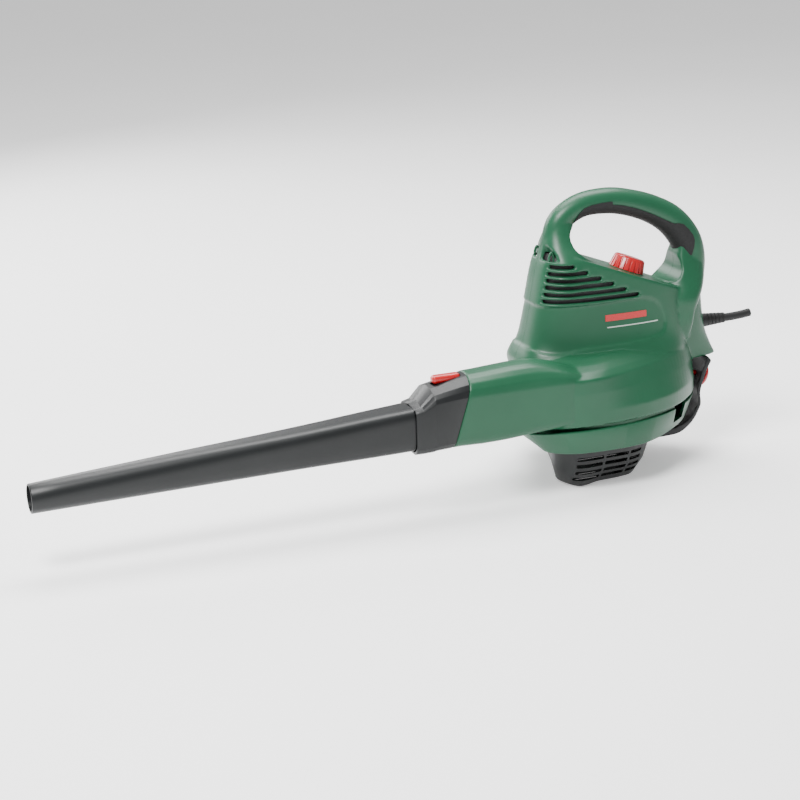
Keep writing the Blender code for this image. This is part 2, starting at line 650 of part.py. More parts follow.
def make_stator():
    core = washer(STATOR_BOTTOM, STATOR_TOP, STATOR_RADIUS, ROTOR_RADIUS + 0.0012)
    holes = [disc(0.14, 0.20, 0.0021, 12, 0.0, side * POST_Y) for side in (-1, 1)]
    finish(cut(core, *coil_windows(0.0232, 0.0308, 0.0030), *holes), "stator_core", "laminations")
    for name, side in (("field_coil_front", -1), ("field_coil_rear", 1)):
        rings = []
        for low in (STATOR_BOTTOM - 0.0052, STATOR_TOP + GAP):
            ring = washer(low, low + 0.0049, 0.0300, 0.0240, 24)
            keep = loft([at_height(((0.0, 0.0), (side * 0.0335, -side * 0.0280), (side * 0.05, 0.0),
                                    (side * 0.0335, side * 0.0280)), z) for z in (0.14, 0.21)])
            rings.append(keep_inside(ring, keep))
        bars = []
        for angle in (-40, 40):
            turn = math.radians(angle)
            x, y = side * 0.0270 * math.cos(turn), 0.0270 * math.sin(turn)
            bars.append(disc(STATOR_BOTTOM - 0.0040, STATOR_TOP + 0.0040, 0.0021, 10, x, y))
        finish(join(rings[0], rings[1], *bars), name, "copper")


def make_brushes():
    """Two carbon brushes on the commutator, each in its holder with a coil spring behind it."""
    for name, side in (("front", -1), ("rear", 1)):
        low, high = sorted((side * 0.0145, side * 0.0345))
        holder = box((low, -0.0050, BRUSH_Z - 0.0050), (high, 0.0050, BRUSH_Z + 0.0050))
        low, high = sorted((side * 0.0100, side * 0.0330))
        finish(cut(holder, box((low, -0.0034, BRUSH_Z - 0.0034), (high, 0.0034, BRUSH_Z + 0.0034))),
               "brush_holder_" + name, "brass")
        low, high = sorted((side * (COMMUTATOR_RADIUS + GAP), side * 0.0240))
        finish(box((low, -0.0030, BRUSH_Z - 0.0030), (high, 0.0030, BRUSH_Z + 0.0030)), "brush_" + name, "carbon")
        points = []
        for index in range(SPRING_TURNS * 6 + 1):
            turn = 2 * math.pi * index / 6
            reach = 0.0247 + 0.0075 * index / (SPRING_TURNS * 6)
            points.append((side * reach, 0.0022 * math.cos(turn), BRUSH_Z + 0.0022 * math.sin(turn)))
        finish(tube_along(points, [0.0003] * len(points), 0), "brush_spring_" + name, "steel")


def make_rotor():
    finish(disc(0.0700, UPPER_BEARING_Z + 0.0058, SHAFT_RADIUS, 20), "motor_shaft", "steel")
    bore = SHAFT_RADIUS + GAP
    core = washer(STATOR_BOTTOM + 0.001, STATOR_TOP - 0.001, ROTOR_RADIUS, bore, 24)
    slots = []
    for index in range(12):
        turn = Matrix.Rotation(math.radians(15 + 30 * index), 4, "Z")
        bm = bmesh.new()
        shape = Matrix.Translation((ROTOR_RADIUS, 0.0, 0.172)) @ Matrix.Diagonal((0.0040, 0.0014, 0.10, 1.0))
        bmesh.ops.create_cube(bm, size=1.0, matrix=turn @ shape)
        slots.append(solid(bm))
    finish(cut(core, *slots), "armature_core", "laminations")
    finish(washer(STATOR_BOTTOM - 0.0045, STATOR_BOTTOM + 0.0007, 0.0160, bore, 24), "armature_winding_lower", "copper")
    finish(washer(STATOR_TOP - 0.0007, COMMUTATOR_BOTTOM - GAP, 0.0155, bore, 24), "armature_winding_upper", "copper")
    finish(washer(COMMUTATOR_BOTTOM, COMMUTATOR_BOTTOM + 0.0135, COMMUTATOR_RADIUS, bore, 24), "commutator", "copper")


def curved_blade(inner, outer, lean, thickness, low, high, index, count, steps=3):
    """One fan blade, swept back from its root to its tip."""
    outline = []
    for side in (-0.5, 0.5):
        row = []
        for step in range(steps + 1):
            t = step / steps
            radius = inner + (outer - inner) * t
            turn = 2 * math.pi * index / count + lean * t * t
            point = Vector((radius * math.cos(turn), radius * math.sin(turn)))
            across = Vector((-math.sin(turn), math.cos(turn))) * thickness * side
            row.append(point + across)
        outline += row if side < 0 else reversed(row)
    return loft([at_height(outline, low), at_height(outline, high)])


def make_fans():
    bore = SHAFT_RADIUS + GAP
    impeller = disc(FAN_BACK_Z - 0.003, FAN_BACK_Z, FAN_RADIUS, 48)
    hub = rod((0.0, 0.0, 0.0830), (0.0, 0.0, FAN_BACK_Z - 0.001), 0.0120, 24, 0.0190)
    blades = []
    for index in range(FAN_BLADES):
        blades.append(curved_blade(0.0110, FAN_RADIUS - 0.002, 0.42, 0.0028, 0.0880, FAN_BACK_Z - 0.0015,
                                   index, FAN_BLADES))
    join(impeller, hub, *blades)
    finish(cut(impeller, disc(0.0, 0.2, bore, 20)), "impeller", "fan")
    nut = rod((0.0, 0.0, 0.0755), (0.0, 0.0, 0.0827), 0.0078, 6)
    finish(cut(nut, disc(0.0, 0.2, bore, 20)), "impeller_nut", "steel")
    cooler = disc(0.1448, 0.1463, 0.0270, 32)
    blades = []
    for index in range(8):
        blades.append(curved_blade(0.0070, 0.0262, 0.20, 0.0014, 0.1458, 0.1505, index, 8, 1))
    join(cooler, disc(0.1448, 0.1507, 0.0085, 20), *blades)
    finish(cut(cooler, disc(0.0, 0.2, bore, 20)), "cooling_fan", "fan")


# ---- controls ----
def on_deck(x, height):
    """A placement whose +Z stands square on the deck, a height above it."""
    normal = Vector((math.sin(DECK_TILT), 0.0, math.cos(DECK_TILT)))
    return Matrix.Translation(deck_at(x) + normal * height) @ Euler((0.0, DECK_TILT, 0.0)).to_matrix().to_4x4()


def placed(made, place):
    made.data.transform(place)
    return made


def make_controls():
    dial = join(rod((0, 0, 0.0006), (0, 0, DIAL_HEIGHT - 0.002), DIAL_RADIUS, SIDES, DIAL_RADIUS * 0.86),
                rod((0, 0, DIAL_HEIGHT - 0.0025), (0, 0, DIAL_HEIGHT), DIAL_RADIUS * 0.84, SIDES, DIAL_RADIUS * 0.70))
    ribs = []
    for index in range(16):
        turn = 2 * math.pi * index / 16
        ribs.append(rod((1.035 * DIAL_RADIUS * math.cos(turn), 1.035 * DIAL_RADIUS * math.sin(turn), -0.01),
                        (0.92 * DIAL_RADIUS * math.cos(turn), 0.92 * DIAL_RADIUS * math.sin(turn), 0.03), 0.0016, 8))
    cut(dial, *ribs)
    cut(dial, rod((0, 0, -0.001), (0, 0, 0.0080), 0.0033))
    finish(placed(dial, on_deck(DIAL_X, 0.0)), "speed_dial", "red")
    finish(placed(rod((0, 0, -0.0110), (0, 0, 0.0076), 0.0030), on_deck(DIAL_X, 0.0)), "dial_spindle", "steel")
    module = box((-0.0100, -0.0125, -0.0145), (0.0110, 0.0125, -0.0040))
    cut(module, rod((0, 0, -0.0115), (0, 0, 0.0), 0.0034))
    finish(placed(module, on_deck(DIAL_X, 0.0)), "speed_controller", "resin")
    finish(disc(0.1700, 0.1920, 0.0060, 20, -0.0680, 0.0140), "suppressor_capacitor", "blue_film")


# ---- tube ----
def tube_section(x, half, bottom, top, roundness):
    """A section of the tube: nearly square at the collar and round at the nozzle."""
    middle = (bottom + top) / 2
    height = (top - bottom) / 2
    power = 2.0 + 3.0 * (1.0 - roundness)
    points = []
    for index in range(24):
        turn = 2 * math.pi * (index + 0.5) / 24
        y = math.copysign(half * abs(math.cos(turn)) ** (2 / power), math.cos(turn))
        z = math.copysign(height * abs(math.sin(turn)) ** (2 / power), math.sin(turn))
        points.append((x, DUCT_Y + y, middle + z))
    return points


TUBE = ((COLLAR_FRONT_X - GAP, 0.0235, 0.0795, 0.1300, 0.20), (-0.330, 0.0228, 0.0785, 0.1270, 0.30),
        (-0.430, 0.0210, 0.0768, 0.1198, 0.50), (-0.560, 0.0190, 0.0735, 0.1128, 0.80),
        (NOZZLE_X, NOZZLE_RADIUS, NOZZLE_Z - NOZZLE_RADIUS, NOZZLE_Z + NOZZLE_RADIUS, 1.0))


def tube_volume(shrink, stretch):
    loops = []
    for x, half, bottom, top, roundness in TUBE:
        if x == TUBE[0][0]:
            x += stretch
        if x == NOZZLE_X:
            x -= stretch
        loops.append(tube_section(x, half - shrink, bottom + shrink, top - shrink, roundness))
    return loft(loops)


def collar_volume(shrink, stretch):
    half = DUCT_HALF - shrink
    shift = -GAP + stretch
    return loft([duct_section(lambda z: seam_x(z) + shift, half, DUCT_BOTTOM + shrink, RIDGE_Z - shrink / 2,
                              DUCT_TOP - shrink),
                 duct_section(lambda z: seam_x(z) - 0.020, half, DUCT_BOTTOM - 0.001 + shrink,
                              RIDGE_Z - 0.001 - shrink / 2, DUCT_TOP - 0.0045 - shrink),
                 duct_section(lambda z: -0.262 - 0.02 * (0.16 - z), 0.0305 - shrink, 0.0775 + shrink,
                              0.1360 - shrink / 2, 0.1500 - shrink),
                 duct_section(lambda z: -0.276, 0.0268 - shrink, 0.0758 + shrink, 0.1270 - shrink / 2,
                              0.1350 - shrink),
                 duct_section(lambda z: COLLAR_FRONT_X - stretch, 0.0258 - shrink, 0.0758 + shrink,
                              0.1255 - shrink / 2, 0.1325 - shrink)])


def make_tube():
    tube = cut(tube_volume(0.0, 0.0), tube_volume(0.0022, 0.01))
    finish(tube, "blower_tube", "black")
    collar = cut(collar_volume(0.0, 0.0), collar_volume(0.0025, 0.006))
    pocket = box((BUTTON_X - 0.0175, DUCT_Y - 0.0066, 0.146), (BUTTON_X + 0.0175, DUCT_Y + 0.0066, 0.170))
    floor = box((BUTTON_X - 0.0190, DUCT_Y - 0.0090, 0.1430), (BUTTON_X + 0.0170, DUCT_Y + 0.0090, 0.1525))
    keep = collar_volume(0.001, 0.0)
    keep_inside(floor, keep)
    join(collar, floor)
    finish(cut(collar, pocket), "tube_collar", "black")
    button = box((BUTTON_X - 0.0170, DUCT_Y - 0.0061, 0.1515), (BUTTON_X + 0.0170, DUCT_Y + 0.0061, 0.1610))
    bevel = button.modifiers.new("round", "BEVEL")
    bevel.width = 0.0035
    bevel.segments = 3
    combine(button, [], "UNION")
    finish(button, "release_button", "red")
    points = []
    for index in range(SPRING_TURNS * 8 + 1):
        turn = 2 * math.pi * index / 8
        points.append((BUTTON_X + 0.0040 * math.cos(turn), DUCT_Y + 0.0040 * math.sin(turn),
                       0.1466 + 0.0042 * index / (SPRING_TURNS * 8)))
    finish(tube_along(points, [0.0003] * len(points), 0), "button_spring", "steel")


# ---- intake guard ----
def guard_slots(side):
    """Four rows of three slots in one side of the guard."""
    made = []
    columns = ((-0.082, -0.049), (-0.046, -0.016), (-0.0130, 0.004))
    for row in range(4):
        z = 0.0085 + row * 0.0092
        for low_x, high_x in columns:
            low, high = (0.030, 0.110) if side > 0 else (-0.110, -0.050)
            made.append(box((low_x, low, z), (high_x, high, z + 0.0048)))
    return made


def floor_slots():
    """Slots along X, which leave a rib under the fan axis."""
    made = []
    for row in range(6):
        y = -0.056 + row * 0.016
        middle = -0.024 + 0.36 * y
        reach = math.sqrt(0.042 ** 2 - 0.5 * (y + 0.010) ** 2)
        made.append(box((middle - reach, y - 0.0038, -0.01), (middle + reach, y + 0.0038, 0.01)))
    return made


TONGUE_CURVE = 8.0              # how fast the tongue bends forward away from the middle plane
TONGUE = ((0.034, 0.0270), (0.070, 0.0262), (0.089, 0.0275), (0.101, 0.0335), (0.111, 0.0430), (0.1190, 0.0570),
          (0.1205, 0.0640), (0.1195, 0.0760), (0.1235, 0.0910), (0.1285, 0.1040), (0.1340, 0.1140),
          (0.1290, 0.1160), (0.1240, 0.1065), (0.1190, 0.0930), (0.1155, 0.0780), (0.1165, 0.0650),
          (0.1145, 0.0580), (0.1070, 0.0462), (0.0975, 0.0395), (0.0850, 0.0350), (0.034, 0.0345))


def make_guard():
    rim = smooth_closed(GUARD_RIM, 2)
    foot = smooth_closed(GUARD_FOOT, 2)
    middle = [(a + b) / 2 + (b - a) * 0.12 for a, b in zip(foot, rim)]
    inner_foot = inset_loop(foot, 0.0028)
    guard = loft([at_height(foot, 0.0), at_height(middle, 0.022), at_height(rim, GUARD_TOP)])
    cut(guard, loft([at_height(inner_foot, 0.0026), at_height(inset_loop(middle, 0.0026), 0.022),
                     at_height(inset_loop(rim, 0.0026), GUARD_TOP + 0.001)]))
    tongue = loft([[(x - TONGUE_CURVE * y * y, y, z) for x, z in TONGUE]
                   for y in (-0.0240, -0.0165, -0.0085, 0.0, 0.0085, 0.0165, 0.0240)])
    x, y, z = HINGE
    hook = box((x - 0.0010, y - HOOK_HALF, z - 0.0025), (x + 0.0085, y + HOOK_HALF, z + 0.0002))
    hook = join(hook, rod((x, y - HOOK_HALF, z), (x, y + HOOK_HALF, z), 0.0020, 10))
    join(guard, tongue, hook)
    bore = rod(lock_point(-0.02), lock_point(0.02), 0.0036)
    cut(guard, *guard_slots(-1), *guard_slots(1), *floor_slots(), bore)
    finish(guard, "intake_guard", "black")


def lock_point(out):
    return Vector(LOCK_POINT) + Vector((math.cos(LOCK_TILT), 0.0, -math.sin(LOCK_TILT))) * out


def make_knob():
    knob = rod(lock_point(0.0032), lock_point(0.0062), 0.0148, 28)
    dome = rod(lock_point(0.0057), lock_point(0.0100), 0.0146, 28, 0.0085)
    stem = rod(lock_point(-0.0095), lock_point(0.0040), 0.0031)
    finish(join(knob, dome, stem), "guard_knob", "red")


def make_shell_screws():
    for number, (x, z) in enumerate(SHELL_SCREWS, 1):
        seat = head_seat(x, z) + GAP
        screw = join(rod((x, -0.0085, z), (x, seat + 0.001, z), 0.0018, 12),
                     rod((x, seat, z), (x, seat + 0.0030, z), 0.0037, 12))
        finish(screw, "shell_screw_%d" % number, "steel")


clear_scene()
make_housing()
make_cover()
make_sleeve()
make_cord()
make_leads()
make_motor_frame()
make_stator()
make_brushes()
make_rotor()
make_fans()
make_controls()
make_tube()
make_guard()
make_knob()
make_shell_screws()
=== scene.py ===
# Garden leaf blower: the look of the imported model, piece by piece, in metres.
import json
import math

import bmesh
import bpy
from mathutils import Euler, Matrix, Vector


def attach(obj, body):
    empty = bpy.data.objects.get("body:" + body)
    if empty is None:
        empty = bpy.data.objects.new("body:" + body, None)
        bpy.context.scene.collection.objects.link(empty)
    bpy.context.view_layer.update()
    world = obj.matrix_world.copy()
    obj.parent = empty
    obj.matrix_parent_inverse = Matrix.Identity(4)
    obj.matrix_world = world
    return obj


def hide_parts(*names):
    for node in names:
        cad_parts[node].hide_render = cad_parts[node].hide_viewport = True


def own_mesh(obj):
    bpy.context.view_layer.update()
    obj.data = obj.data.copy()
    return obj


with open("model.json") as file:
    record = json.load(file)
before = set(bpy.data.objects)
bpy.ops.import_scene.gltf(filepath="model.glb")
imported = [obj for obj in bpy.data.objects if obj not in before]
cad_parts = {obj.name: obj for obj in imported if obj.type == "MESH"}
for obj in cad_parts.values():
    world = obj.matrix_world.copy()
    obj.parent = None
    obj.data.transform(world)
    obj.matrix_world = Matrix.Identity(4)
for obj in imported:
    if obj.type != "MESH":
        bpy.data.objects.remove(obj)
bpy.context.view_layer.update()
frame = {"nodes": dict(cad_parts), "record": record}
print("frame loaded:", len(frame["nodes"]), "nodes")

# camera: angles in degrees, lens and sensor in millimetres, the rest in metres
cameraView = {"azimuth": -20.0, "elevation": 17.0, "roll": 2.0, "distance": 2.6, "lens": 95.7, "sensor": 36.0,
              "across": -0.2530, "up": 0.0721, "near": 0.05, "far": 60.0}


def placeCamera(view):
    turn, rise, roll = (math.radians(view[name]) for name in ("azimuth", "elevation", "roll"))
    back = Vector((math.sin(turn) * math.cos(rise), -math.cos(turn) * math.cos(rise), math.sin(rise)))
    right = Vector((math.cos(turn), math.sin(turn), 0.0))
    up = back.cross(right)
    rolledRight = right * math.cos(roll) - up * math.sin(roll)
    rolledUp = right * math.sin(roll) + up * math.cos(roll)
    data = bpy.data.cameras.new("productCamera")
    data.lens = view["lens"]
    data.sensor_width = view["sensor"]
    data.clip_start, data.clip_end = view["near"], view["far"]
    camera = bpy.data.objects.new("productCamera", data)
    bpy.context.scene.collection.objects.link(camera)
    place = Matrix((rolledRight, rolledUp, back)).transposed().to_4x4()
    place.translation = back * view["distance"] + rolledRight * view["across"] + rolledUp * view["up"]
    camera.matrix_world = place
    bpy.context.scene.camera = camera


placeCamera(cameraView)


# materials
def nodeMaterial(name, colour, roughness, metallic=0.0):
    made = bpy.data.materials.new(name)
    made.use_nodes = True
    made.diffuse_color = (*colour, 1.0)
    shader = made.node_tree.nodes["Principled BSDF"]
    shader.inputs["Base Color"].default_value = (*colour, 1.0)
    shader.inputs["Roughness"].default_value = roughness
    shader.inputs["Metallic"].default_value = metallic
    return made, made.node_tree, shader


def noiseOn(tree, coordinates, scale, detail=3.0, stretch=None):
    texture = tree.nodes.new("ShaderNodeTexNoise")
    texture.inputs["Scale"].default_value = scale
    texture.inputs["Detail"].default_value = detail
    if stretch:
        mapping = tree.nodes.new("ShaderNodeMapping")
        mapping.inputs["Scale"].default_value = stretch
        tree.links.new(coordinates.outputs["Object"], mapping.inputs["Vector"])
        tree.links.new(mapping.outputs["Vector"], texture.inputs["Vector"])
    else:
        tree.links.new(coordinates.outputs["Object"], texture.inputs["Vector"])
    return texture


def rampOn(tree, source, stops):
    ramp = tree.nodes.new("ShaderNodeValToRGB")
    for element, (position, colour) in zip(ramp.color_ramp.elements, (stops[0], stops[-1])):
        element.position, element.color = position, (*colour, 1.0)
    for position, colour in stops[1:-1]:
        ramp.color_ramp.elements.new(position).color = (*colour, 1.0)
    tree.links.new(source, ramp.inputs["Fac"])
    return ramp


def rangeOn(tree, source, low, high, fromLow=0.3, fromHigh=0.7):
    spread = tree.nodes.new("ShaderNodeMapRange")
    spread.inputs["From Min"].default_value = fromLow
    spread.inputs["From Max"].default_value = fromHigh
    spread.inputs["To Min"].default_value = low
    spread.inputs["To Max"].default_value = high
    tree.links.new(source, spread.inputs["Value"])
    return spread


def bumpOn(tree, shader, height, strength, distance, below=None):
    bump = tree.nodes.new("ShaderNodeBump")
    bump.inputs["Strength"].default_value = strength
    bump.inputs["Distance"].default_value = distance
    tree.links.new(height, bump.inputs["Height"])
    if below:
        tree.links.new(below.outputs["Normal"], bump.inputs["Normal"])
    tree.links.new(bump.outputs["Normal"], shader.inputs["Normal"])
    return bump


# what all moulded plastics share: slow shade clouds, fine grain and coarser flecks
grainLook = {"cloudScale": 14.0, "cloudDetail": 4.0, "cloudLow": 0.32, "cloudHigh": 0.68, "lift": 0.002,
             "grainDetail": 2.0, "grainDepth": 0.00012, "fleckShare": 0.37, "fleckDetail": 3.0,
             "fleckBump": 0.6, "fleckDepth": 0.0003, "specular": 0.5}
# what all metals share: dull spots and fine lines
metalLook = {"spotScale": 160.0, "spotDetail": 3.0, "spotLow": 0.35, "spotHigh": 0.62, "duller": 0.78,
             "rougher": 0.12, "smoother": 0.06, "lineDetail": 2.0, "lineDepth": 0.00008}
copperWire = {"colour": (0.62, 0.24, 0.09), "roughness": 0.32, "metallic": 0.85, "turnScale": 520.0,
              "wander": 1.4, "gap": (0.1, (0.20, 0.06, 0.02)), "crest": (0.6, (0.68, 0.27, 0.10)),
              "bump": 0.6, "depth": 0.0002, "varnish": 0.6}


def mouldedPlastic(name, settings):
    colour, roughness, shade = settings["colour"], settings["roughness"], settings["shade"]
    made, tree, shader = nodeMaterial(name, colour, roughness)
    place = tree.nodes.new("ShaderNodeTexCoord")
    clouds = noiseOn(tree, place, grainLook["cloudScale"], grainLook["cloudDetail"])
    grain = noiseOn(tree, place, settings["grainScale"], grainLook["grainDetail"])
    fleck = noiseOn(tree, place, settings["grainScale"] * grainLook["fleckShare"], grainLook["fleckDetail"])
    darker = tuple(channel * (1.0 - shade) for channel in colour)
    lighter = tuple(min(1.0, channel * (1.0 + shade) + grainLook["lift"]) for channel in colour)
    stops = ((grainLook["cloudLow"], darker), (grainLook["cloudHigh"], lighter))
    ramp = rampOn(tree, clouds.outputs["Fac"], stops)
    tree.links.new(ramp.outputs["Color"], shader.inputs["Base Color"])
    spread = settings["roughSpread"]
    rough = rangeOn(tree, fleck.outputs["Fac"], roughness - spread, roughness + spread)
    tree.links.new(rough.outputs["Result"], shader.inputs["Roughness"])
    coarse = bumpOn(tree, shader, fleck.outputs["Fac"], settings["grain"] * grainLook["fleckBump"],
                    grainLook["fleckDepth"])
    bumpOn(tree, shader, grain.outputs["Fac"], settings["grain"], grainLook["grainDepth"], coarse)
    shader.inputs["Specular IOR Level"].default_value = settings.get("specular", grainLook["specular"])
    if "coat" in settings:
        shader.inputs["Coat Weight"].default_value = settings["coat"]
        shader.inputs["Coat Roughness"].default_value = settings["coatRoughness"]
    return made


def spunMetal(name, settings):
    # plated, turned or stamped metal
    colour, roughness = settings["colour"], settings["roughness"]
    made, tree, shader = nodeMaterial(name, colour, roughness, 1.0)
    place = tree.nodes.new("ShaderNodeTexCoord")
    lines = noiseOn(tree, place, settings["lineScale"], metalLook["lineDetail"], settings["stretch"])
    spots = noiseOn(tree, place, metalLook["spotScale"], metalLook["spotDetail"])
    duller = tuple(channel * metalLook["duller"] for channel in colour)
    stops = ((metalLook["spotLow"], duller), (metalLook["spotHigh"], colour))
    ramp = rampOn(tree, spots.outputs["Fac"], stops)
    tree.links.new(ramp.outputs["Color"], shader.inputs["Base Color"])
    rough = rangeOn(tree, spots.outputs["Fac"], roughness + metalLook["rougher"],
                    roughness - metalLook["smoother"])
    tree.links.new(rough.outputs["Result"], shader.inputs["Roughness"])
    bumpOn(tree, shader, lines.outputs["Fac"], settings["depth"], metalLook["lineDepth"])
    return made


def coiledCopper(name, settings):
    # varnished wire laid in fine turns
    made, tree, shader = nodeMaterial(name, settings["colour"], settings["roughness"], settings["metallic"])
    place = tree.nodes.new("ShaderNodeTexCoord")
    wires = tree.nodes.new("ShaderNodeTexWave")
    wires.wave_type = "RINGS"
    wires.rings_direction = "Z"
    wires.inputs["Scale"].default_value = settings["turnScale"]
    wires.inputs["Distortion"].default_value = settings["wander"]
    tree.links.new(place.outputs["Object"], wires.inputs["Vector"])
    ramp = rampOn(tree, wires.outputs["Fac"], (settings["gap"], settings["crest"]))
    tree.links.new(ramp.outputs["Color"], shader.inputs["Base Color"])
    bumpOn(tree, shader, wires.outputs["Fac"], settings["bump"], settings["depth"])
    shader.inputs["Coat Weight"].default_value = settings["varnish"]
    return made


plastics = {
    "greenHousing": {"colour": (0.0060, 0.066, 0.029), "roughness": 0.38, "roughSpread": 0.045,
                     "grainScale": 2600.0, "grain": 0.22, "shade": 0.05, "specular": 0.36},
    "blackShell": {"colour": (0.0050, 0.0062, 0.0066), "roughness": 0.40, "roughSpread": 0.05,
                   "grainScale": 2300.0, "grain": 0.28, "shade": 0.12, "specular": 0.34},
    "blackCage": {"colour": (0.0055, 0.0065, 0.0070), "roughness": 0.48, "roughSpread": 0.05,
                  "grainScale": 2000.0, "grain": 0.34, "shade": 0.14, "specular": 0.34},
    "softGrip": {"colour": (0.0060, 0.0062, 0.0066), "roughness": 0.72, "roughSpread": 0.06,
                 "grainScale": 1500.0, "grain": 0.75, "shade": 0.18, "specular": 0.35},
    "redControl": {"colour": (0.42, 0.0020, 0.0040), "roughness": 0.30, "roughSpread": 0.04,
                   "grainScale": 2600.0, "grain": 0.12, "shade": 0.05, "coat": 0.25, "coatRoughness": 0.22},
    "leadRubber": {"colour": (0.0070, 0.0073, 0.0077), "roughness": 0.62, "roughSpread": 0.06,
                   "grainScale": 1700.0, "grain": 0.5, "shade": 0.15, "specular": 0.35},
    "fanNylon": {"colour": (0.036, 0.037, 0.040), "roughness": 0.5, "roughSpread": 0.06,
                 "grainScale": 1500.0, "grain": 0.4, "shade": 0.15},
    "pottingResin": {"colour": (0.30, 0.26, 0.18), "roughness": 0.5, "roughSpread": 0.08,
                     "grainScale": 900.0, "grain": 0.5, "shade": 0.2},
    "filmBlue": {"colour": (0.02, 0.07, 0.28), "roughness": 0.28, "roughSpread": 0.05,
                 "grainScale": 1200.0, "grain": 0.3, "shade": 0.1},
    "wireBrown": {"colour": (0.14, 0.05, 0.02), "roughness": 0.45, "roughSpread": 0.05,
                  "grainScale": 1500.0, "grain": 0.2, "shade": 0.1},
    "wireBlue": {"colour": (0.02, 0.08, 0.35), "roughness": 0.45, "roughSpread": 0.05,
                 "grainScale": 1500.0, "grain": 0.2, "shade": 0.1},
    "paleInk": {"colour": (0.42, 0.50, 0.44), "roughness": 0.45, "roughSpread": 0.04,
                "grainScale": 2200.0, "grain": 0.1, "shade": 0.06},
    "brushCarbon": {"colour": (0.025, 0.025, 0.026), "roughness": 0.66, "roughSpread": 0.08,
                    "grainScale": 1900.0, "grain": 0.7, "shade": 0.3},
}
metals = {
    "zincSteel": {"colour": (0.58, 0.59, 0.61), "roughness": 0.30, "lineScale": 900.0,
                  "stretch": (1.0, 1.0, 4.0), "depth": 0.25},
    "motorLaminations": {"colour": (0.30, 0.30, 0.32), "roughness": 0.42, "lineScale": 260.0,
                         "stretch": (0.1, 0.1, 9.0), "depth": 0.9},
    "holderBrass": {"colour": (0.66, 0.46, 0.20), "roughness": 0.32, "lineScale": 700.0,
                    "stretch": (1.0, 5.0, 1.0), "depth": 0.2},
}
looks = {name: mouldedPlastic(name, settings) for name, settings in plastics.items()}
looks.update({name: spunMetal(name, settings) for name, settings in metals.items()})
looks["coilCopper"] = coiledCopper("coilCopper", copperWire)

slotLooks = {"green_plastic": "greenHousing", "black_plastic": "blackShell", "soft_grip": "softGrip",
             "red_plastic": "redControl", "cable_rubber": "leadRubber", "fan_plastic": "fanNylon",
             "zinc_steel": "zincSteel", "laminations": "motorLaminations", "copper_winding": "coilCopper",
             "brass": "holderBrass", "carbon": "brushCarbon", "resin": "pottingResin",
             "blue_film": "filmBlue", "brown_wire": "wireBrown", "blue_wire": "wireBlue"}
for entry in frame["record"]["subparts"]:
    node = frame["nodes"][entry["node"]]
    node.data.materials.clear()
    node.data.materials.append(looks[slotLooks[entry["material_slot"]]])
print("materials ready:", len(looks))


# modelling helpers
def pieceFrom(bm, name):
    bmesh.ops.recalc_face_normals(bm, faces=bm.faces)
    mesh = bpy.data.meshes.new(name)
    bm.to_mesh(mesh)
    bm.free()
    made = bpy.data.objects.new(name, mesh)
    bpy.context.scene.collection.objects.link(made)
    return made


def applied(made):
    # the piece with its modifiers, as plain mesh
    graph = bpy.context.evaluated_depsgraph_get()
    mesh = bpy.data.meshes.new_from_object(made.evaluated_get(graph))
    made.modifiers.clear()
    old = made.data
    made.data = mesh
    bpy.data.meshes.remove(old)
    return made


def combined(target, others, operation):
    for other in others:
        modifier = target.modifiers.new("combine", "BOOLEAN")
        modifier.operation = operation
        modifier.solver = "MANIFOLD"
        modifier.object = other
        applied(target)
        bpy.data.objects.remove(other, do_unlink=True)
    return target


def joined(target, *others):
    return combined(target, others, "UNION")


def carved(target, *others):
    return combined(target, others, "DIFFERENCE")


def trimmed(target, *others):
    return combined(target, others, "INTERSECT")


def twinOf(made):
    twin = made.copy()
    twin.data = made.data.copy()
    bpy.context.scene.collection.objects.link(twin)
    return twin


def loopOf(bm, points):
    verts = [bm.verts.new(point) for point in points]
    return [bm.edges.new((verts[index - 1], verts[index])) for index in range(len(verts))]


def lofted(name, loops):
    # a closed form through loops of points, each bridged to the next, with caps on the first and last
    bm = bmesh.new()
    rings = [loopOf(bm, loop) for loop in loops]
    for lower, upper in zip(rings, rings[1:]):
        bmesh.ops.bridge_loops(bm, edges=lower + upper)
    for ring in (rings[0], rings[-1]):
        bmesh.ops.edgeloop_fill(bm, edges=ring)
    return pieceFrom(bm, name)


def roundedBox(name, low, high, rounding=0.0, segments=3):
    bm = bmesh.new()
    size, middle = Vector(high) - Vector(low), (Vector(high) + Vector(low)) / 2
    bmesh.ops.create_cube(bm, size=1.0, matrix=Matrix.Translation(middle) @ Matrix.Diagonal((*size, 1.0)))
    if rounding:
        bmesh.ops.bevel(bm, geom=bm.edges[:], offset=rounding, offset_type="OFFSET", segments=segments,
                        profile=0.5, affect="EDGES", material=-1, clamp_overlap=True)
    return pieceFrom(bm, name)


def facing(direction):
    return Vector(direction).to_track_quat("Z", "Y").to_matrix().to_4x4()


def drum(name, start, end, radius, segments=48):
    start, run = Vector(start), Vector(end) - Vector(start)
    bm = bmesh.new()
    bmesh.ops.create_cone(bm, cap_ends=True, segments=segments, radius1=radius, radius2=radius,
                          depth=run.length, matrix=Matrix.Translation(start + run / 2) @ facing(run))
    return pieceFrom(bm, name)


def flowing(points, steps, closed=False):
    # points on a smooth curve through the given ones
    points = [Vector(point) for point in points]
    if not closed:
        points = [2 * points[0] - points[1], *points, 2 * points[-1] - points[-2]]
    result, count = [], len(points)
    starts = range(count) if closed else range(1, count - 2)
    for index in starts:
        before, here, after, beyond = (points[(index + shift) % count] for shift in (-1, 0, 1, 2))
        for step in range(steps):
            t = step / steps
            result.append(0.5 * (2 * here + (after - before) * t
                                 + (2 * before - 5 * here + 4 * after - beyond) * t ** 2
                                 + (3 * here - before - 3 * after + beyond) * t ** 3))
    if not closed:
        result.append(points[-2])
    return result


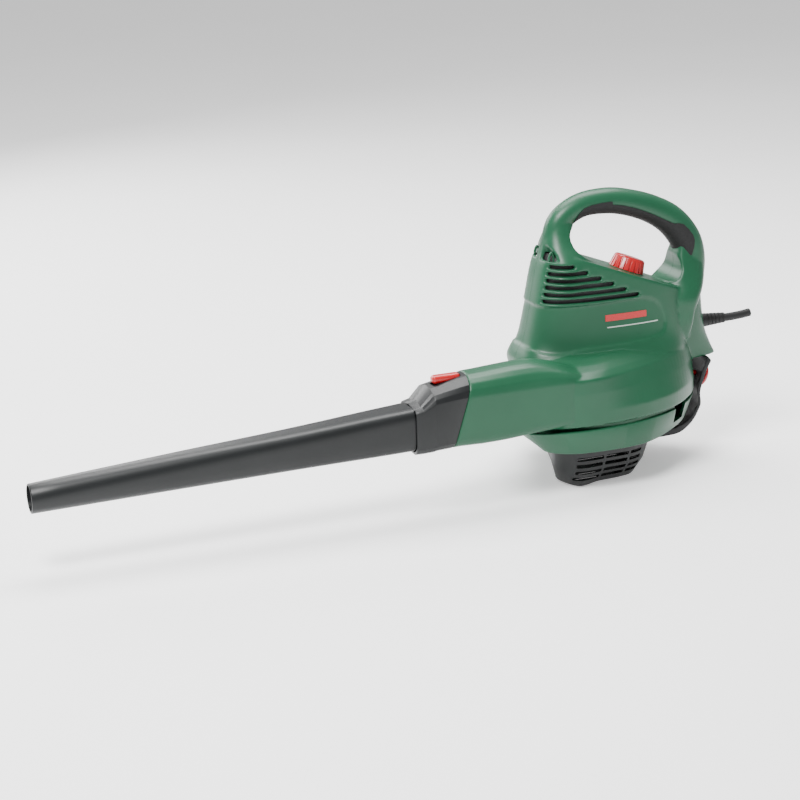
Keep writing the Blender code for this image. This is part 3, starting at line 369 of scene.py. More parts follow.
def swept(name, points, radii, sides, flatten):
    # a bar of changing radius along a line in the XZ plane, flattened or widened across Y
    loops = []
    for index, point in enumerate(points):
        run = points[min(index + 1, len(points) - 1)] - points[max(index - 1, 0)]
        across = Vector((0.0, 1.0, 0.0))
        outward = run.normalized().cross(across).normalized()
        ring = []
        for side in range(sides):
            turn = 2 * math.pi * side / sides
            ring.append(point + (outward * math.cos(turn) + across * math.sin(turn) * flatten) * radii[index])
        loops.append(ring)
    return lofted(name, loops)


def drawnIn(loop, amount):
    # a flat loop moved inwards by an amount
    result = []
    for index, point in enumerate(loop):
        run = loop[(index + 1) % len(loop)] - loop[index - 1]
        result.append(point + Vector((-run.y, run.x, 0.0)).normalized() * amount)
    return result


def softened(made, passes):
    bm = bmesh.new()
    bm.from_mesh(made.data)
    for _ in range(passes):
        bmesh.ops.smooth_vert(bm, verts=bm.verts[:], factor=0.5, use_axis_x=True, use_axis_y=True,
                              use_axis_z=True)
    bm.to_mesh(made.data)
    bm.free()
    return made


def moulded(made, pitch, passes):
    # one skin over the joined forms, with soft inside and outside corners
    modifier = made.modifiers.new("skin", "REMESH")
    modifier.mode = "VOXEL"
    modifier.voxel_size = pitch
    applied(made)
    return softened(made, passes)


def eased(made, width, segments, angle):
    # rounds the edges whose faces meet at more than an angle
    bm = bmesh.new()
    bm.from_mesh(made.data)
    sharp = [edge for edge in bm.edges if edge.is_manifold and math.degrees(edge.calc_face_angle()) > angle]
    bmesh.ops.bevel(bm, geom=sharp, offset=width, offset_type="OFFSET", segments=segments, profile=0.5,
                    affect="EDGES", material=-1, clamp_overlap=True)
    bm.to_mesh(made.data)
    bm.free()
    return made


def dressed(made, look, body, slot, *replaced, sharp=40.0):
    made.data.materials.clear()
    made.data.materials.append(looks[look])
    made.data.shade_smooth()
    made.data.set_sharp_from_angle(angle=math.radians(sharp))
    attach(made, body)
    if replaced:
        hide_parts(*replaced)
    print("piece:", made.name, len(made.data.polygons), "faces")
    return made


# mains lead: a short stub straight out of the rear
lead = {"exit": (0.1335, 0.0, 0.1595), "radius": 0.005,
        # along and up from the exit
        "route": ((0.0, 0.0), (0.012, -0.0001), (0.026, -0.0003), (0.040, 0.0001), (0.052, 0.0010),
                  (0.061, 0.0022))}


def makeLead():
    x, y, z = lead["exit"]
    route = flowing([(x + along, y, z + rise) for along, rise in lead["route"]], 4)
    data = bpy.data.curves.new("mainsLead", "CURVE")
    data.dimensions = "3D"
    data.bevel_depth = lead["radius"]
    data.bevel_resolution = 8
    data.use_fill_caps = True
    spline = data.splines.new("POLY")
    spline.points.add(len(route) - 1)
    for knot, point in zip(spline.points, route):
        knot.co = (*point, 1.0)
    spline.use_smooth = True
    made = bpy.data.objects.new("mainsLead", data)
    bpy.context.scene.collection.objects.link(made)
    data.materials.append(looks["leadRubber"])
    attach(made, "housing")
    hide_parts("mains_cord")


makeLead()


# housing: tower, spine, fan chamber, outlet duct and loop handle grown into one skin
housing = {
    "wall": 0.003, "pitch": 0.0013, "passes": 5,
    "deckPoint": (0.0, 0.0, 0.2445), "deckTilt": math.radians(21.0),
    "bottom": 0.083, "ridge": 0.139, "seamTop": (-0.217, 0.160), "seamSlope": 0.32,
    "ductY": -0.0775, "ductHalf": 0.0315,
    "towerNose": 3.3, "spineRoot": 0.070, "spineFront": 0.030, "frontFootAt": -0.060, "rearFootAt": 0.094,
    "handleWiden": 1.06,
    # height, front, rear, half width
    "tower": ((0.124, 0.116, 0.098, 0.066), (0.140, 0.121, 0.100, 0.0635), (0.150, 0.1185, 0.101, 0.0590),
              (0.158, 0.1145, 0.103, 0.0550), (0.168, 0.1105, 0.105, 0.0520),
              (0.182, 0.1070, 0.106, 0.0502), (0.200, 0.1030, 0.106, 0.0490),
              (0.220, 0.0985, 0.105, 0.0480), (0.240, 0.0945, 0.104, 0.0465),
              (0.254, 0.0910, 0.102, 0.0450), (0.263, 0.0880, 0.100, 0.0430),
              (0.270, 0.0850, 0.097, 0.0370)),
    # height, rear, half width
    "spine": ((0.119, 0.145, 0.021), (0.132, 0.138, 0.024), (0.150, 0.130, 0.028), (0.170, 0.125, 0.031),
              (0.198, 0.122, 0.032), (0.222, 0.124, 0.022)),
    # height, outer reach, half width, inner reach
    "frontFoot": ((0.225, 0.095, 0.0465, 0.045), (0.245, 0.0915, 0.0455, 0.040),
                  (0.258, 0.0885, 0.0420, 0.036), (0.268, 0.0862, 0.0350, 0.032),
                  (0.278, 0.0835, 0.0265, 0.026), (0.290, 0.0797, 0.0190, 0.020),
                  (0.302, 0.0745, 0.0150, 0.015)),
    "rearFoot": ((0.148, 0.0990, 0.0300, 0.0200), (0.168, 0.1005, 0.0390, 0.0300),
                 (0.184, 0.1050, 0.0410, 0.0300), (0.196, 0.1120, 0.0425, 0.0300),
                 (0.206, 0.1185, 0.0405, 0.0290), (0.216, 0.1235, 0.0355, 0.0270),
                 (0.227, 0.1265, 0.0290, 0.0240), (0.240, 0.1270, 0.0222, 0.0130),
                 (0.254, 0.1235, 0.0170, 0.0050), (0.268, 0.1165, 0.0120, 0.0015)),
    # outlines of the fan chamber seen from above, at its wall and at its shoulder
    "fanWall": ((0.1130, 0.000), (0.102, 0.048), (0.061, 0.092), (0.000, 0.106), (-0.058, 0.096),
                (-0.102, 0.060), (-0.118, 0.005), (-0.122, -0.040), (-0.1230, -0.0760), (-0.112, -0.1010),
                (-0.085, -0.1087), (-0.055, -0.1092), (-0.026, -0.1070), (0.014, -0.0980), (0.056, -0.0780),
                (0.0945, -0.0410)),
    "fanShoulder": ((0.110, 0.000), (0.096, 0.043), (0.055, 0.082), (0.000, 0.096), (-0.055, 0.089),
                    (-0.097, 0.056), (-0.115, 0.005), (-0.120, -0.040), (-0.1210, -0.0760),
                    (-0.111, -0.1005), (-0.085, -0.1085), (-0.058, -0.1080), (-0.030, -0.0990),
                    (0.008, -0.0830), (0.046, -0.0640), (0.086, -0.0360)),
    # scale of the shoulder, height: the roof over the fan chamber
    "fanRoof": ((0.90, 0.1452), (0.78, 0.1500), (0.62, 0.1545)), "fanCentre": (-0.006, -0.004, 0.0),
    "fanBelly": {"wallShare": 0.45, "swell": 1.006, "low": 0.100, "high": 0.122},
    # along, bottom, top of the duct, from its mouth to where it meets the tower
    "ductStations": ((-0.2050, 0.0792, 0.1614), (-0.1800, 0.0797, 0.1630), (-0.1520, 0.0815, 0.1645),
                     (-0.1300, 0.0830, 0.1635), (-0.1050, 0.0835, 0.1580), (-0.0800, 0.0838, 0.1500),
                     (-0.0550, 0.0840, 0.1440)),
    "ductMouth": (0.0797, 0.1600), "ductNeck": (0.0800, 0.1608), "neckShare": 0.62, "neckShift": -0.0835,
    "ductTaper": {"from": -0.100, "slope": 0.16},
    # along, height, radius
    "handle": ((-0.071, 0.262, 0.0150), (-0.068, 0.280, 0.0150), (-0.060, 0.304, 0.0140),
               (-0.034, 0.3195, 0.0140), (0.000, 0.3220, 0.0150), (0.030, 0.3165, 0.0155),
               (0.060, 0.3055, 0.0165), (0.086, 0.289, 0.0180), (0.105, 0.265, 0.0185),
               (0.1110, 0.240, 0.0188), (0.1075, 0.215, 0.0190), (0.098, 0.193, 0.0165),
               (0.084, 0.176, 0.0100)),
    "handHole": ((-0.036, 0.3025), (-0.010, 0.3055), (0.018, 0.3000), (0.048, 0.2885), (0.070, 0.2730),
                 (0.0845, 0.2560), (0.0895, 0.2400), (0.0865, 0.2275), (0.0765, 0.2200), (0.060, 0.2228),
                 (0.040, 0.2297), (0.018, 0.2380), (-0.004, 0.2465), (-0.026, 0.2555), (-0.0425, 0.2640),
                 (-0.0530, 0.2745), (-0.0545, 0.2880), (-0.0480, 0.2975)),
    # along, height, seat of the head across
    "screws": ((-0.080, 0.222, 0.0150), (-0.098, 0.163, 0.0150), (0.098, 0.190, 0.0150),
               (0.104, 0.132, 0.0075), (-0.012, 0.3265, 0.0075), (0.1145, 0.2495, 0.0075)),
    "counterbore": 0.0042,
    "vents": {"rows": 6, "low": 0.2135, "pitch": 0.0080, "slot": 0.0046, "front": -0.1080,
              "frontStep": 0.0022, "rear": 0.021, "rearStep": 0.0160, "nearY": 0.0225, "farY": 0.075,
              "rounding": 0.0018},
    "panelDepth": 0.0019,
    "panel": ((-0.150, 0.2095), (-0.110, 0.2100), (0.010, 0.2118), (0.026, 0.2115), (0.0390, 0.2078),
              (0.0490, 0.1998), (0.0550, 0.1870), (0.0570, 0.1740), (0.0500, 0.1640), (0.017, 0.1605),
              (-0.035, 0.1592), (-0.061, 0.1585), (-0.076, 0.1562), (-0.098, 0.1562), (-0.114, 0.1600),
              (-0.150, 0.1650)),
    "niche": ((-0.104, 0.2615), (-0.104, 0.2700), (-0.0930, 0.2765), (-0.0860, 0.2835), (-0.0800, 0.2760),
              (-0.0765, 0.2690), (-0.0760, 0.2615)),
}


def eggLoop(front, rear, half, z, middle=0.0, steps=24, frontPower=2.7, rearPower=2.2):
    loop = []
    for index in range(4 * steps):
        turn = 2 * math.pi * index / (4 * steps)
        cosine, sine = math.cos(turn), math.sin(turn)
        power, reach = (rearPower, rear) if cosine > 0 else (frontPower, front)
        loop.append(Vector((middle + math.copysign(reach * abs(cosine) ** (2 / power), cosine),
                            math.copysign(half * abs(sine) ** (2 / power), sine), z)))
    return loop


def towerForm(inset, name="tower"):
    levels = flowing(housing["tower"], 3)
    nose = housing["towerNose"]
    return lofted(name, [eggLoop(front - inset, rear - inset, half - inset, z, frontPower=nose)
                         for z, front, rear, half in levels])


def spineForm(inset):
    root, front = housing["spineRoot"], housing["spineFront"]
    return lofted("spine", [eggLoop(front, rear - root - inset, half - inset, z, root, 12, 2.0, 2.6)
                            for z, rear, half in flowing(housing["spine"], 3)])


def footForm(kind):
    loops = []
    for z, reach, half, inner in flowing(housing[kind], 3):
        if kind == "frontFoot":
            centre = housing["frontFootAt"]
            loops.append(eggLoop(reach + centre, inner, half, z, centre, 16, 2.4, 2.2))
        else:
            centre = housing["rearFootAt"]
            loops.append(eggLoop(inner, reach - centre, half, z, centre, 16, 2.2, 2.4))
    return lofted(kind, loops)


def atHeight(loop, z):
    return [Vector((point.x, point.y, z)) for point in loop]


def scaledLoop(loop, factor):
    centre = Vector(housing["fanCentre"])
    return [centre + (Vector((point.x, point.y, 0.0)) - centre) * factor for point in loop]


def fanForm(inset, bottom, drop):
    wall, shoulder = (drawnIn(flowing([(x, y, 0.0) for x, y in housing[key]], 7, True), inset)
                      for key in ("fanWall", "fanShoulder"))
    bulge = housing["fanBelly"]
    share, swell = bulge["wallShare"], bulge["swell"]
    belly = [(low * share + high * (1.0 - share)) * swell for low, high in zip(wall, shoulder)]
    loops = [atHeight(wall, bottom), atHeight(wall, bulge["low"]), atHeight(belly, bulge["high"]),
             atHeight(shoulder, housing["ridge"] - drop)]
    loops += [atHeight(scaledLoop(shoulder, scale), z - drop) for scale, z in housing["fanRoof"]]
    return lofted("fan", loops)


def seamX(z):
    topX, topZ = housing["seamTop"]
    return topX - (topZ - z) * housing["seamSlope"]


def ductLoop(xOf, half, bottom, ridge, top):
    # flat floor with small corners, upright walls, and a roof arched above the ridge
    arch = top - ridge
    left = [(-half, bottom + 0.008), (-half + 0.003, bottom + 0.003), (-half + 0.009, bottom)]
    right = [(half - 0.009, bottom), (half - 0.003, bottom + 0.003), (half, bottom + 0.008)]
    roof = [(half, ridge), (half * 0.93, ridge + arch * 0.34), (half * 0.78, ridge + arch * 0.62),
            (half * 0.56, top - 0.0040), (half * 0.32, top - 0.0012)]
    profile = [*left, *right, *roof, (0.0, top), *[(-y, z) for y, z in reversed(roof)]]
    return [Vector((xOf(z), housing["ductY"] + y, z)) for y, z in profile]


def ductForm(inset, shift):
    half, ridge = housing["ductHalf"] - inset, housing["ridge"] - inset * 0.4
    (mouthLow, mouthTop), (neckLow, neckTop) = housing["ductMouth"], housing["ductNeck"]
    share, neckShift = housing["neckShare"], housing["neckShift"]
    loops = [ductLoop(lambda z: seamX(z) + shift, half, mouthLow + inset, ridge, mouthTop - inset),
             ductLoop(lambda z: seamX(z) * share + neckShift, half, neckLow + inset, ridge, neckTop - inset)]
    taper = housing["ductTaper"]
    for x, bottom, top in flowing(housing["ductStations"], 3):
        tail = max(0.0, x - taper["from"]) * taper["slope"]
        loops.append(ductLoop(lambda z: x, half - tail, bottom + inset, ridge - tail, top - inset))
    return lofted("duct", loops)


def handleForm(inset):
    stations = flowing([(x, z, radius) for x, z, radius in housing["handle"]], 6)
    line = [Vector((x, 0.0, z)) for x, z, radius in stations]
    return swept("handle", line, [radius - inset for x, z, radius in stations], 40, housing["handleWiden"])


def sidePrism(name, outline, lowY, highY, smooth=6):
    loop = [Vector((x, 0.0, z)) for x, z in outline]
    if smooth:
        loop = flowing(loop, smooth, True)
    return lofted(name, [[Vector((point.x, y, point.z)) for point in loop] for y in (lowY, highY)])


def deckKnife(drop):
    tilt = housing["deckTilt"]
    normal = Vector((math.sin(tilt), 0.0, math.cos(tilt)))
    made = roundedBox("deckKnife", (-0.21, -0.10, 0.0), (0.23, 0.10, 0.12))
    seat = Matrix.Translation(Vector(housing["deckPoint"]) - normal * drop)
    made.data.transform(seat @ Euler((0.0, tilt, 0.0)).to_matrix().to_4x4())
    return made


def ventKnives(side):
    vents, made = housing["vents"], []
    low, high = sorted((side * vents["nearY"], side * vents["farY"]))
    for row in range(vents["rows"]):
        z = vents["low"] + row * vents["pitch"]
        front, rear = vents["front"] + row * vents["frontStep"], vents["rear"] - row * vents["rearStep"]
        top = z + vents["slot"]
        made.append(roundedBox("vent", (front, low, z), (rear, high, top), vents["rounding"], 2))
    return made


def housingSkin():
    skin = joined(towerForm(0.0), spineForm(0.0))
    carved(skin, deckKnife(0.0))
    joined(skin, footForm("frontFoot"), footForm("rearFoot"), handleForm(0.0),
           fanForm(0.0, housing["bottom"], 0.0), ductForm(0.0, 0.0))
    carved(skin, sidePrism("handHole", housing["handHole"], -0.09, 0.09))
    return skin


def panelKnife():
    # a shallow field in the tower's sides and nose, which leaves the skirt below it proud
    knife = sidePrism("panel", housing["panel"], -0.09, 0.09, 5)
    return carved(knife, towerForm(housing["panelDepth"]), spineForm(0.0), ductForm(-0.0010, 0.0))


def makeHousing():
    skin = housingSkin()
    carved(skin, panelKnife())
    for span in ((-0.06, -0.007), (0.007, 0.06)):
        carved(skin, sidePrism("niche", housing["niche"], *span, 0))
    carved(skin, *ventKnives(-1), *ventKnives(1))
    moulded(skin, housing["pitch"], housing["passes"])
    print("housing skin", len(skin.data.polygons))
    cavity = towerForm(housing["wall"], "cavity")
    joined(cavity, spineForm(housing["wall"]))
    carved(cavity, deckKnife(housing["wall"]))
    joined(cavity, fanForm(housing["wall"], housing["bottom"] - 0.010, housing["wall"]),
           ductForm(housing["wall"], -0.010))
    carved(skin, cavity)
    for name, node, low, high in (("housingShellLeft", "housing_left", -0.20, -0.0002),
                                  ("housingShellRight", "housing_right", 0.0002, 0.20)):
        half = twinOf(skin)
        half.name = name
        trimmed(half, roundedBox("half", (-0.4, low, 0.0), (0.3, high, 0.5)))
        if low > 0.0:  # the screws go in from this side
            carved(half, *[drum("bore", (x, seat, z), (x, 0.09, z), housing["counterbore"], 32)
                           for x, z, seat in housing["screws"]])
        dressed(half, "greenHousing", "housing", "green_plastic", node)
    bpy.data.objects.remove(skin, do_unlink=True)


makeHousing()


# vent shade sheet: a dark sheet behind the slots, painted shade standing in for the shade inside the housing
ventShadeSheet = {"inset": 0.0062, "wall": 0.0010, "low": 0.1950}


def makeVentShadeSheet():
    outer = towerForm(ventShadeSheet["inset"], "ventShadeSheet")
    inner = towerForm(ventShadeSheet["inset"] + ventShadeSheet["wall"], "shadeSheetCore")
    inner.data.transform(Matrix.Translation((0.0, 0.0, 0.002)))
    carved(outer, inner, deckKnife(ventShadeSheet["inset"]))
    trimmed(outer, roundedBox("band", (-0.2, -0.1, ventShadeSheet["low"]), (0.060, 0.1, 0.29)))
    # painted shade: this dark sheet makes the slots look shaded inside
    dressed(outer, "brushCarbon", "housing", "black_plastic")


makeVentShadeSheet()


# strap eye: two small bows in the niches at the handle's front foot
strapEye = {"front": -0.0830, "rear": -0.0774, "floor": 0.2590, "shoulder": 0.2660, "top": 0.2715,
            "y": -0.0205, "radius": 0.0014}


def makeStrapEye():
    front, rear, y, floor, shoulder = (strapEye[key] for key in ("front", "rear", "y", "floor", "shoulder"))
    for side, name in ((1, "strapBowLeft"), (-1, "strapBowRight")):
        climb = ((front, floor), (front, shoulder), ((front + rear) / 2, strapEye["top"]), (rear, shoulder),
                 (rear, floor))
        line = flowing([(x, side * y, z) for x, z in climb], 8)
        made = swept(name, line, [strapEye["radius"]] * len(line), 16, 1.3)
        dressed(made, "greenHousing", "housing", "green_plastic")


makeStrapEye()


# lower fan cover: a tapering green ring with the round intake in its floor
fanCover = {
    "rim": ((0.1120, 0.000), (0.101, 0.047), (0.060, 0.091), (0.000, 0.105), (-0.060, 0.100), (-0.110, 0.072),
            (-0.128, 0.015), (-0.143, -0.040), (-0.146, -0.084), (-0.100, -0.108), (-0.040, -0.1105),
            (0.012, -0.099), (0.055, -0.077), (0.0935, -0.041)),
    "foot": ((0.101, 0.000), (0.090, 0.045), (0.054, 0.084), (0.000, 0.098), (-0.040, 0.092), (-0.066, 0.064),
             (-0.084, 0.016), (-0.100, -0.030), (-0.118, -0.076), (-0.090, -0.102), (-0.040, -0.107),
             (0.005, -0.100), (0.048, -0.072), (0.085, -0.036)),
    "lip": ((0.1130, 0.000), (0.102, 0.048), (0.061, 0.092), (0.000, 0.106), (-0.058, 0.096), (-0.102, 0.060),
            (-0.118, 0.005), (-0.119, -0.035), (-0.110, -0.078), (-0.078, -0.106), (-0.032, -0.1105),
            (0.012, -0.100), (0.056, -0.078), (0.0945, -0.041)),
    "bottom": 0.0500, "top": 0.0790, "wall": 0.003, "edge": 0.0012, "intake": 0.038,
    "lipTop": 0.0827, "lipKnee": 0.0720, "lipInset": 0.0045, "lipWall": 0.0025,
    "throatWall": 0.004, "throatRise": 0.012,
    "hookSlot": ((-0.1205, -0.0715, 0.0480), (-0.0985, -0.0385, 0.0600)),
    "rearOpening": ((0.0530, -0.0900, 0.0590), (0.0740, -0.0450, 0.0850)),
}


def ringLoop(outline, inset, z, steps=7):
    return atHeight(drawnIn(flowing([(x, y, 0.0) for x, y in outline], steps, True), inset), z)


def lipForm(inset, low, high):
    foot, lip = fanCover["foot"], fanCover["lip"]
    return lofted("lip", [ringLoop(foot, inset + 0.0010, low), ringLoop(lip, inset, fanCover["lipKnee"]),
                          ringLoop(lip, inset, high)])


def makeFanCover():
    rim, foot, bottom, top, edge = (fanCover[key] for key in ("rim", "foot", "bottom", "top", "edge"))
    wall, lipTop, lipInset = fanCover["wall"], fanCover["lipTop"], fanCover["lipInset"]
    levels = ((foot, edge, bottom), (foot, edge * 0.3, bottom + edge * 0.3),
              (foot, -edge * 0.4, bottom + edge), (rim, 0.0, top - edge),
              (rim, edge * 0.3, top - edge * 0.3), (rim, edge, top))
    cover = lofted("fanCoverRing", [ringLoop(*level) for level in levels])
    carved(cover, lofted("hollow", [ringLoop(foot, wall, bottom + wall), ringLoop(rim, wall, top + 0.001)]))
    lip = carved(lipForm(lipInset, bottom + 0.001, lipTop),
                 lipForm(lipInset + fanCover["lipWall"], bottom, lipTop + 0.01))
    collar = drum("collar", (0.0, 0.0, bottom + 0.001), (0.0, 0.0, bottom + fanCover["throatRise"]),
                  fanCover["intake"] + fanCover["throatWall"], 96)
    joined(cover, lip, collar)
    throat = drum("throat", (0.0, 0.0, bottom - 0.01), (0.0, 0.0, bottom + 0.03), fanCover["intake"], 96)
    carved(cover, throat, roundedBox("hookSlot", *fanCover["hookSlot"], 0.0012, 2),
           roundedBox("rearOpening", *fanCover["rearOpening"], 0.0015, 2))
    dressed(cover, "greenHousing", "housing", "green_plastic", "fan_cover")


makeFanCover()


# intake guard: a slotted cup with a rear tongue that carries the lock
guard = {
    "rim": ((0.046, 0.000), (0.052, 0.030), (0.046, 0.058), (0.015, 0.080), (-0.030, 0.082), (-0.062, 0.056),
            (-0.081, 0.014), (-0.094, -0.030), (-0.101, -0.070), (-0.082, -0.094), (-0.040, -0.097),
            (-0.005, -0.093), (0.020, -0.074), (0.036, -0.036)),
    "foot": ((0.026, 0.000), (0.030, 0.025), (0.020, 0.045), (-0.004, 0.055), (-0.032, 0.052),
             (-0.054, 0.034), (-0.067, 0.006), (-0.078, -0.020), (-0.087, -0.045), (-0.074, -0.078),
             (-0.045, -0.071), (-0.016, -0.068), (0.004, -0.060), (0.016, -0.032)),
    "top": 0.0485, "wall": 0.0027, "belly": 0.62, "bellyHeight": 0.022, "edge": 0.0025,
    # slots in the sides: where they start and end along, and across
    "columns": ((-0.082, -0.049), (-0.046, -0.016), (-0.0130, 0.004)),
    "flanks": ((0.030, 0.110), (-0.110, -0.050)),
    "rows": 4, "firstRow": 0.0085, "pitch": 0.0092, "slot": 0.0048,
    # slots in the floor, shorter towards its sides
    "floorSlots": {"rows": 6, "firstY": -0.056, "pitch": 0.016, "half": 0.0038, "middle": -0.024,
                   "lean": 0.36, "reach": 0.042, "squeeze": 0.5, "widestY": -0.010},
    "lockBore": 0.0036, "floor": 0.0026,
    "hinge": (-0.1045, -0.055, 0.0480), "hookHalf": 0.0145,
    "tongue": ((0.034, 0.0270), (0.070, 0.0262), (0.089, 0.0275), (0.101, 0.0335), (0.111, 0.0430),
               (0.1190, 0.0570), (0.1205, 0.0640), (0.1195, 0.0760), (0.1235, 0.0910), (0.1285, 0.1040),
               (0.1340, 0.1140), (0.1290, 0.1160), (0.1240, 0.1065), (0.1190, 0.0930), (0.1155, 0.0780),
               (0.1165, 0.0650), (0.1145, 0.0580), (0.1070, 0.0462), (0.0975, 0.0395), (0.0850, 0.0350),
               (0.034, 0.0345)),
    "tongueHalf": 0.0240, "tongueCurve": 8.0, "lock": (0.1235, 0.0, 0.093), "lockTilt": math.radians(21.0),
}


def lockPoint(out):
    # a point on the lock's axis, out from its seat
    tilt = guard["lockTilt"]
    return Vector(guard["lock"]) + Vector((math.cos(tilt), 0.0, -math.sin(tilt))) * out


def guardLoops(inset):
    rim = drawnIn(flowing([(x, y, 0.0) for x, y in guard["rim"]], 8, True), inset)
    foot = drawnIn(flowing([(x, y, 0.0) for x, y in guard["foot"]], 8, True), inset)
    belly = [low + (high - low) * guard["belly"] for low, high in zip(foot, rim)]
    return foot, belly, rim


def guardSlots():
    made = []
    for low, high in guard["flanks"]:
        for row in range(guard["rows"]):
            z = guard["firstRow"] + row * guard["pitch"]
            made += [roundedBox("slot", (front, low, z), (rear, high, z + guard["slot"]), 0.0011, 2)
                     for front, rear in guard["columns"]]
    slots = guard["floorSlots"]
    half = slots["half"]
    for row in range(slots["rows"]):
        y = slots["firstY"] + row * slots["pitch"]
        middle = slots["middle"] + slots["lean"] * y
        reach = math.sqrt(slots["reach"] ** 2 - slots["squeeze"] * (y - slots["widestY"]) ** 2)
        made.append(roundedBox("slot", (middle - reach, y - half, -0.01), (middle + reach, y + half, 0.01),
                               0.002, 2))
    return made


def makeGuard():
    foot, belly, rim = guardLoops(0.0)
    edge, top, middle = guard["edge"], guard["top"], guard["bellyHeight"]
    heel = [low + (high - low) * 0.06 for low, high in zip(foot, belly)]
    levels = ((drawnIn(foot, edge), 0.0), (drawnIn(foot, edge * 0.3), edge * 0.3), (heel, edge),
              (belly, middle), (rim, top - 0.001), (drawnIn(rim, 0.0006), top))
    cage = lofted("guardCage", [atHeight(*level) for level in levels])
    foot, belly, rim = guardLoops(guard["wall"])
    carved(cage, lofted("hollow", [atHeight(foot, guard["floor"]), atHeight(belly, middle),
                                   atHeight(rim, top + 0.001)]))
    root, *curve, end = [Vector((x, 0.0, z)) for x, z in guard["tongue"]]
    outline = [root, *flowing(curve, 4), end]
    sheets, strips = [], 12
    for strip in range(strips + 1):
        y = guard["tongueHalf"] * (2 * strip / strips - 1)
        sheets.append([Vector((point.x - guard["tongueCurve"] * y * y, y, point.z)) for point in outline])
    tongue = eased(lofted("tongue", sheets), 0.0009, 2, 50.0)
    x, y, z = guard["hinge"]
    half = guard["hookHalf"]
    hook = roundedBox("hook", (x - 0.0010, y - half, z - 0.0025), (x + 0.0085, y + half, z + 0.0002))
    joined(hook, drum("pin", (x, y - half, z), (x, y + half, z), 0.0020, 24))
    joined(cage, tongue, hook)
    carved(cage, drum("bore", lockPoint(-0.02), lockPoint(0.02), guard["lockBore"], 32), *guardSlots())
    dressed(cage, "blackCage", "guard", "black_plastic", "intake_guard", sharp=32.0)


makeGuard()


# lock knob: a red lens with a finger bar, on its stem
lockKnob = {"stem": 0.0031, "bar": (0.0236, 0.0030, 0.0060), "barOut": 0.0086,
            # out along the axis, radius
            "profile": ((0.0032, 0.0138), (0.0036, 0.0146), (0.0046, 0.0148), (0.0062, 0.0146),
                        (0.0076, 0.0132), (0.0088, 0.0108), (0.0096, 0.0072), (0.0099, 0.0030))}


def turned(name, stations, segments=64):
    loops = []
    for centre, direction, radius in stations:
        turn = facing(direction).to_3x3()
        loops.append([Vector(centre) + turn @ Vector((math.cos(angle), math.sin(angle), 0.0)) * radius
                      for angle in (2 * math.pi * side / segments for side in range(segments))])
    return lofted(name, loops)


def makeKnob():
    aim = lockPoint(1.0) - lockPoint(0.0)
    knob = turned("lockKnob", [(lockPoint(out), aim, radius) for out, radius in lockKnob["profile"]])
    stem = drum("stem", lockPoint(-0.0095), lockPoint(0.0040), lockKnob["stem"], 32)
    corner = Vector(lockKnob["bar"]) / 2
    bar = roundedBox("bar", -corner, corner, 0.0012, 3)
    across = Matrix.Rotation(math.radians(90), 4, "Z")
    bar.data.transform(Matrix.Translation(lockPoint(lockKnob["barOut"])) @ facing(aim) @ across)
    joined(knob, stem, bar)
    dressed(knob, "redControl", "knob", "red_plastic", "guard_knob", sharp=45.0)


makeKnob()


# speed dial: a tapered red cap with scooped ribs
dial = {"x": 0.026, "radius": 0.0215, "scoops": 20, "scoopRadius": 0.0014, "scoopLow": (1.03, -0.01),
        "scoopHigh": (0.875, 0.021), "socket": 0.0033, "socketTop": 0.0080, "skirtHole": 0.0150,
        "groove": ((-0.0165, -0.0007, 0.0164), (-0.0060, 0.0007, 0.0180)),
        # height, radius
        "skirt": ((-0.0004, 0.0232), (0.0002, 0.0234), (0.0005, 0.0230), (0.0005, 0.0222)),
        "profile": ((0.0006, 0.0208), (0.0012, 0.0215), (0.0145, 0.0188), (0.0158, 0.0180), (0.0167, 0.0166),
                    (0.0170, 0.0140))}


def makeDial():
    tilt = housing["deckTilt"]
    normal = Vector((math.sin(tilt), 0.0, math.cos(tilt)))
    seat = Vector((dial["x"], 0.0, housing["deckPoint"][2] - dial["x"] * math.tan(tilt)))
    place = Matrix.Translation(seat) @ Euler((0.0, tilt, 0.0)).to_matrix().to_4x4()
    cap = turned("dialCap", [((0.0, 0.0, z), (0.0, 0.0, 1.0), radius) for z, radius in dial["profile"]], 96)
    scoops = []
    (lowOut, lowZ), (highOut, highZ) = dial["scoopLow"], dial["scoopHigh"]
    for index in range(dial["scoops"]):
        turn = 2 * math.pi * index / dial["scoops"]
        ray = Vector((math.cos(turn), math.sin(turn), 0.0)) * dial["radius"]
        low, high = ray * lowOut + Vector((0.0, 0.0, lowZ)), ray * highOut + Vector((0.0, 0.0, highZ))
        scoops.append(drum("scoop", low, high, dial["scoopRadius"], 16))
    socket = drum("socket", (0.0, 0.0, -0.001), (0.0, 0.0, dial["socketTop"]), dial["socket"], 32)
    carved(cap, *scoops, socket)
    carved(cap, roundedBox("groove", *dial["groove"]))
    cap.data.transform(place)
    dressed(cap, "redControl", "dial", "red_plastic", "speed_dial", sharp=40.0)
    skirt = turned("dialSkirt", [(seat + normal * out, normal, radius) for out, radius in dial["skirt"]])
    carved(skirt, drum("hole", seat - normal * 0.002, seat + normal * 0.002, dial["skirtHole"], 64))
    dressed(skirt, "greenHousing", "housing", "green_plastic")


makeDial()


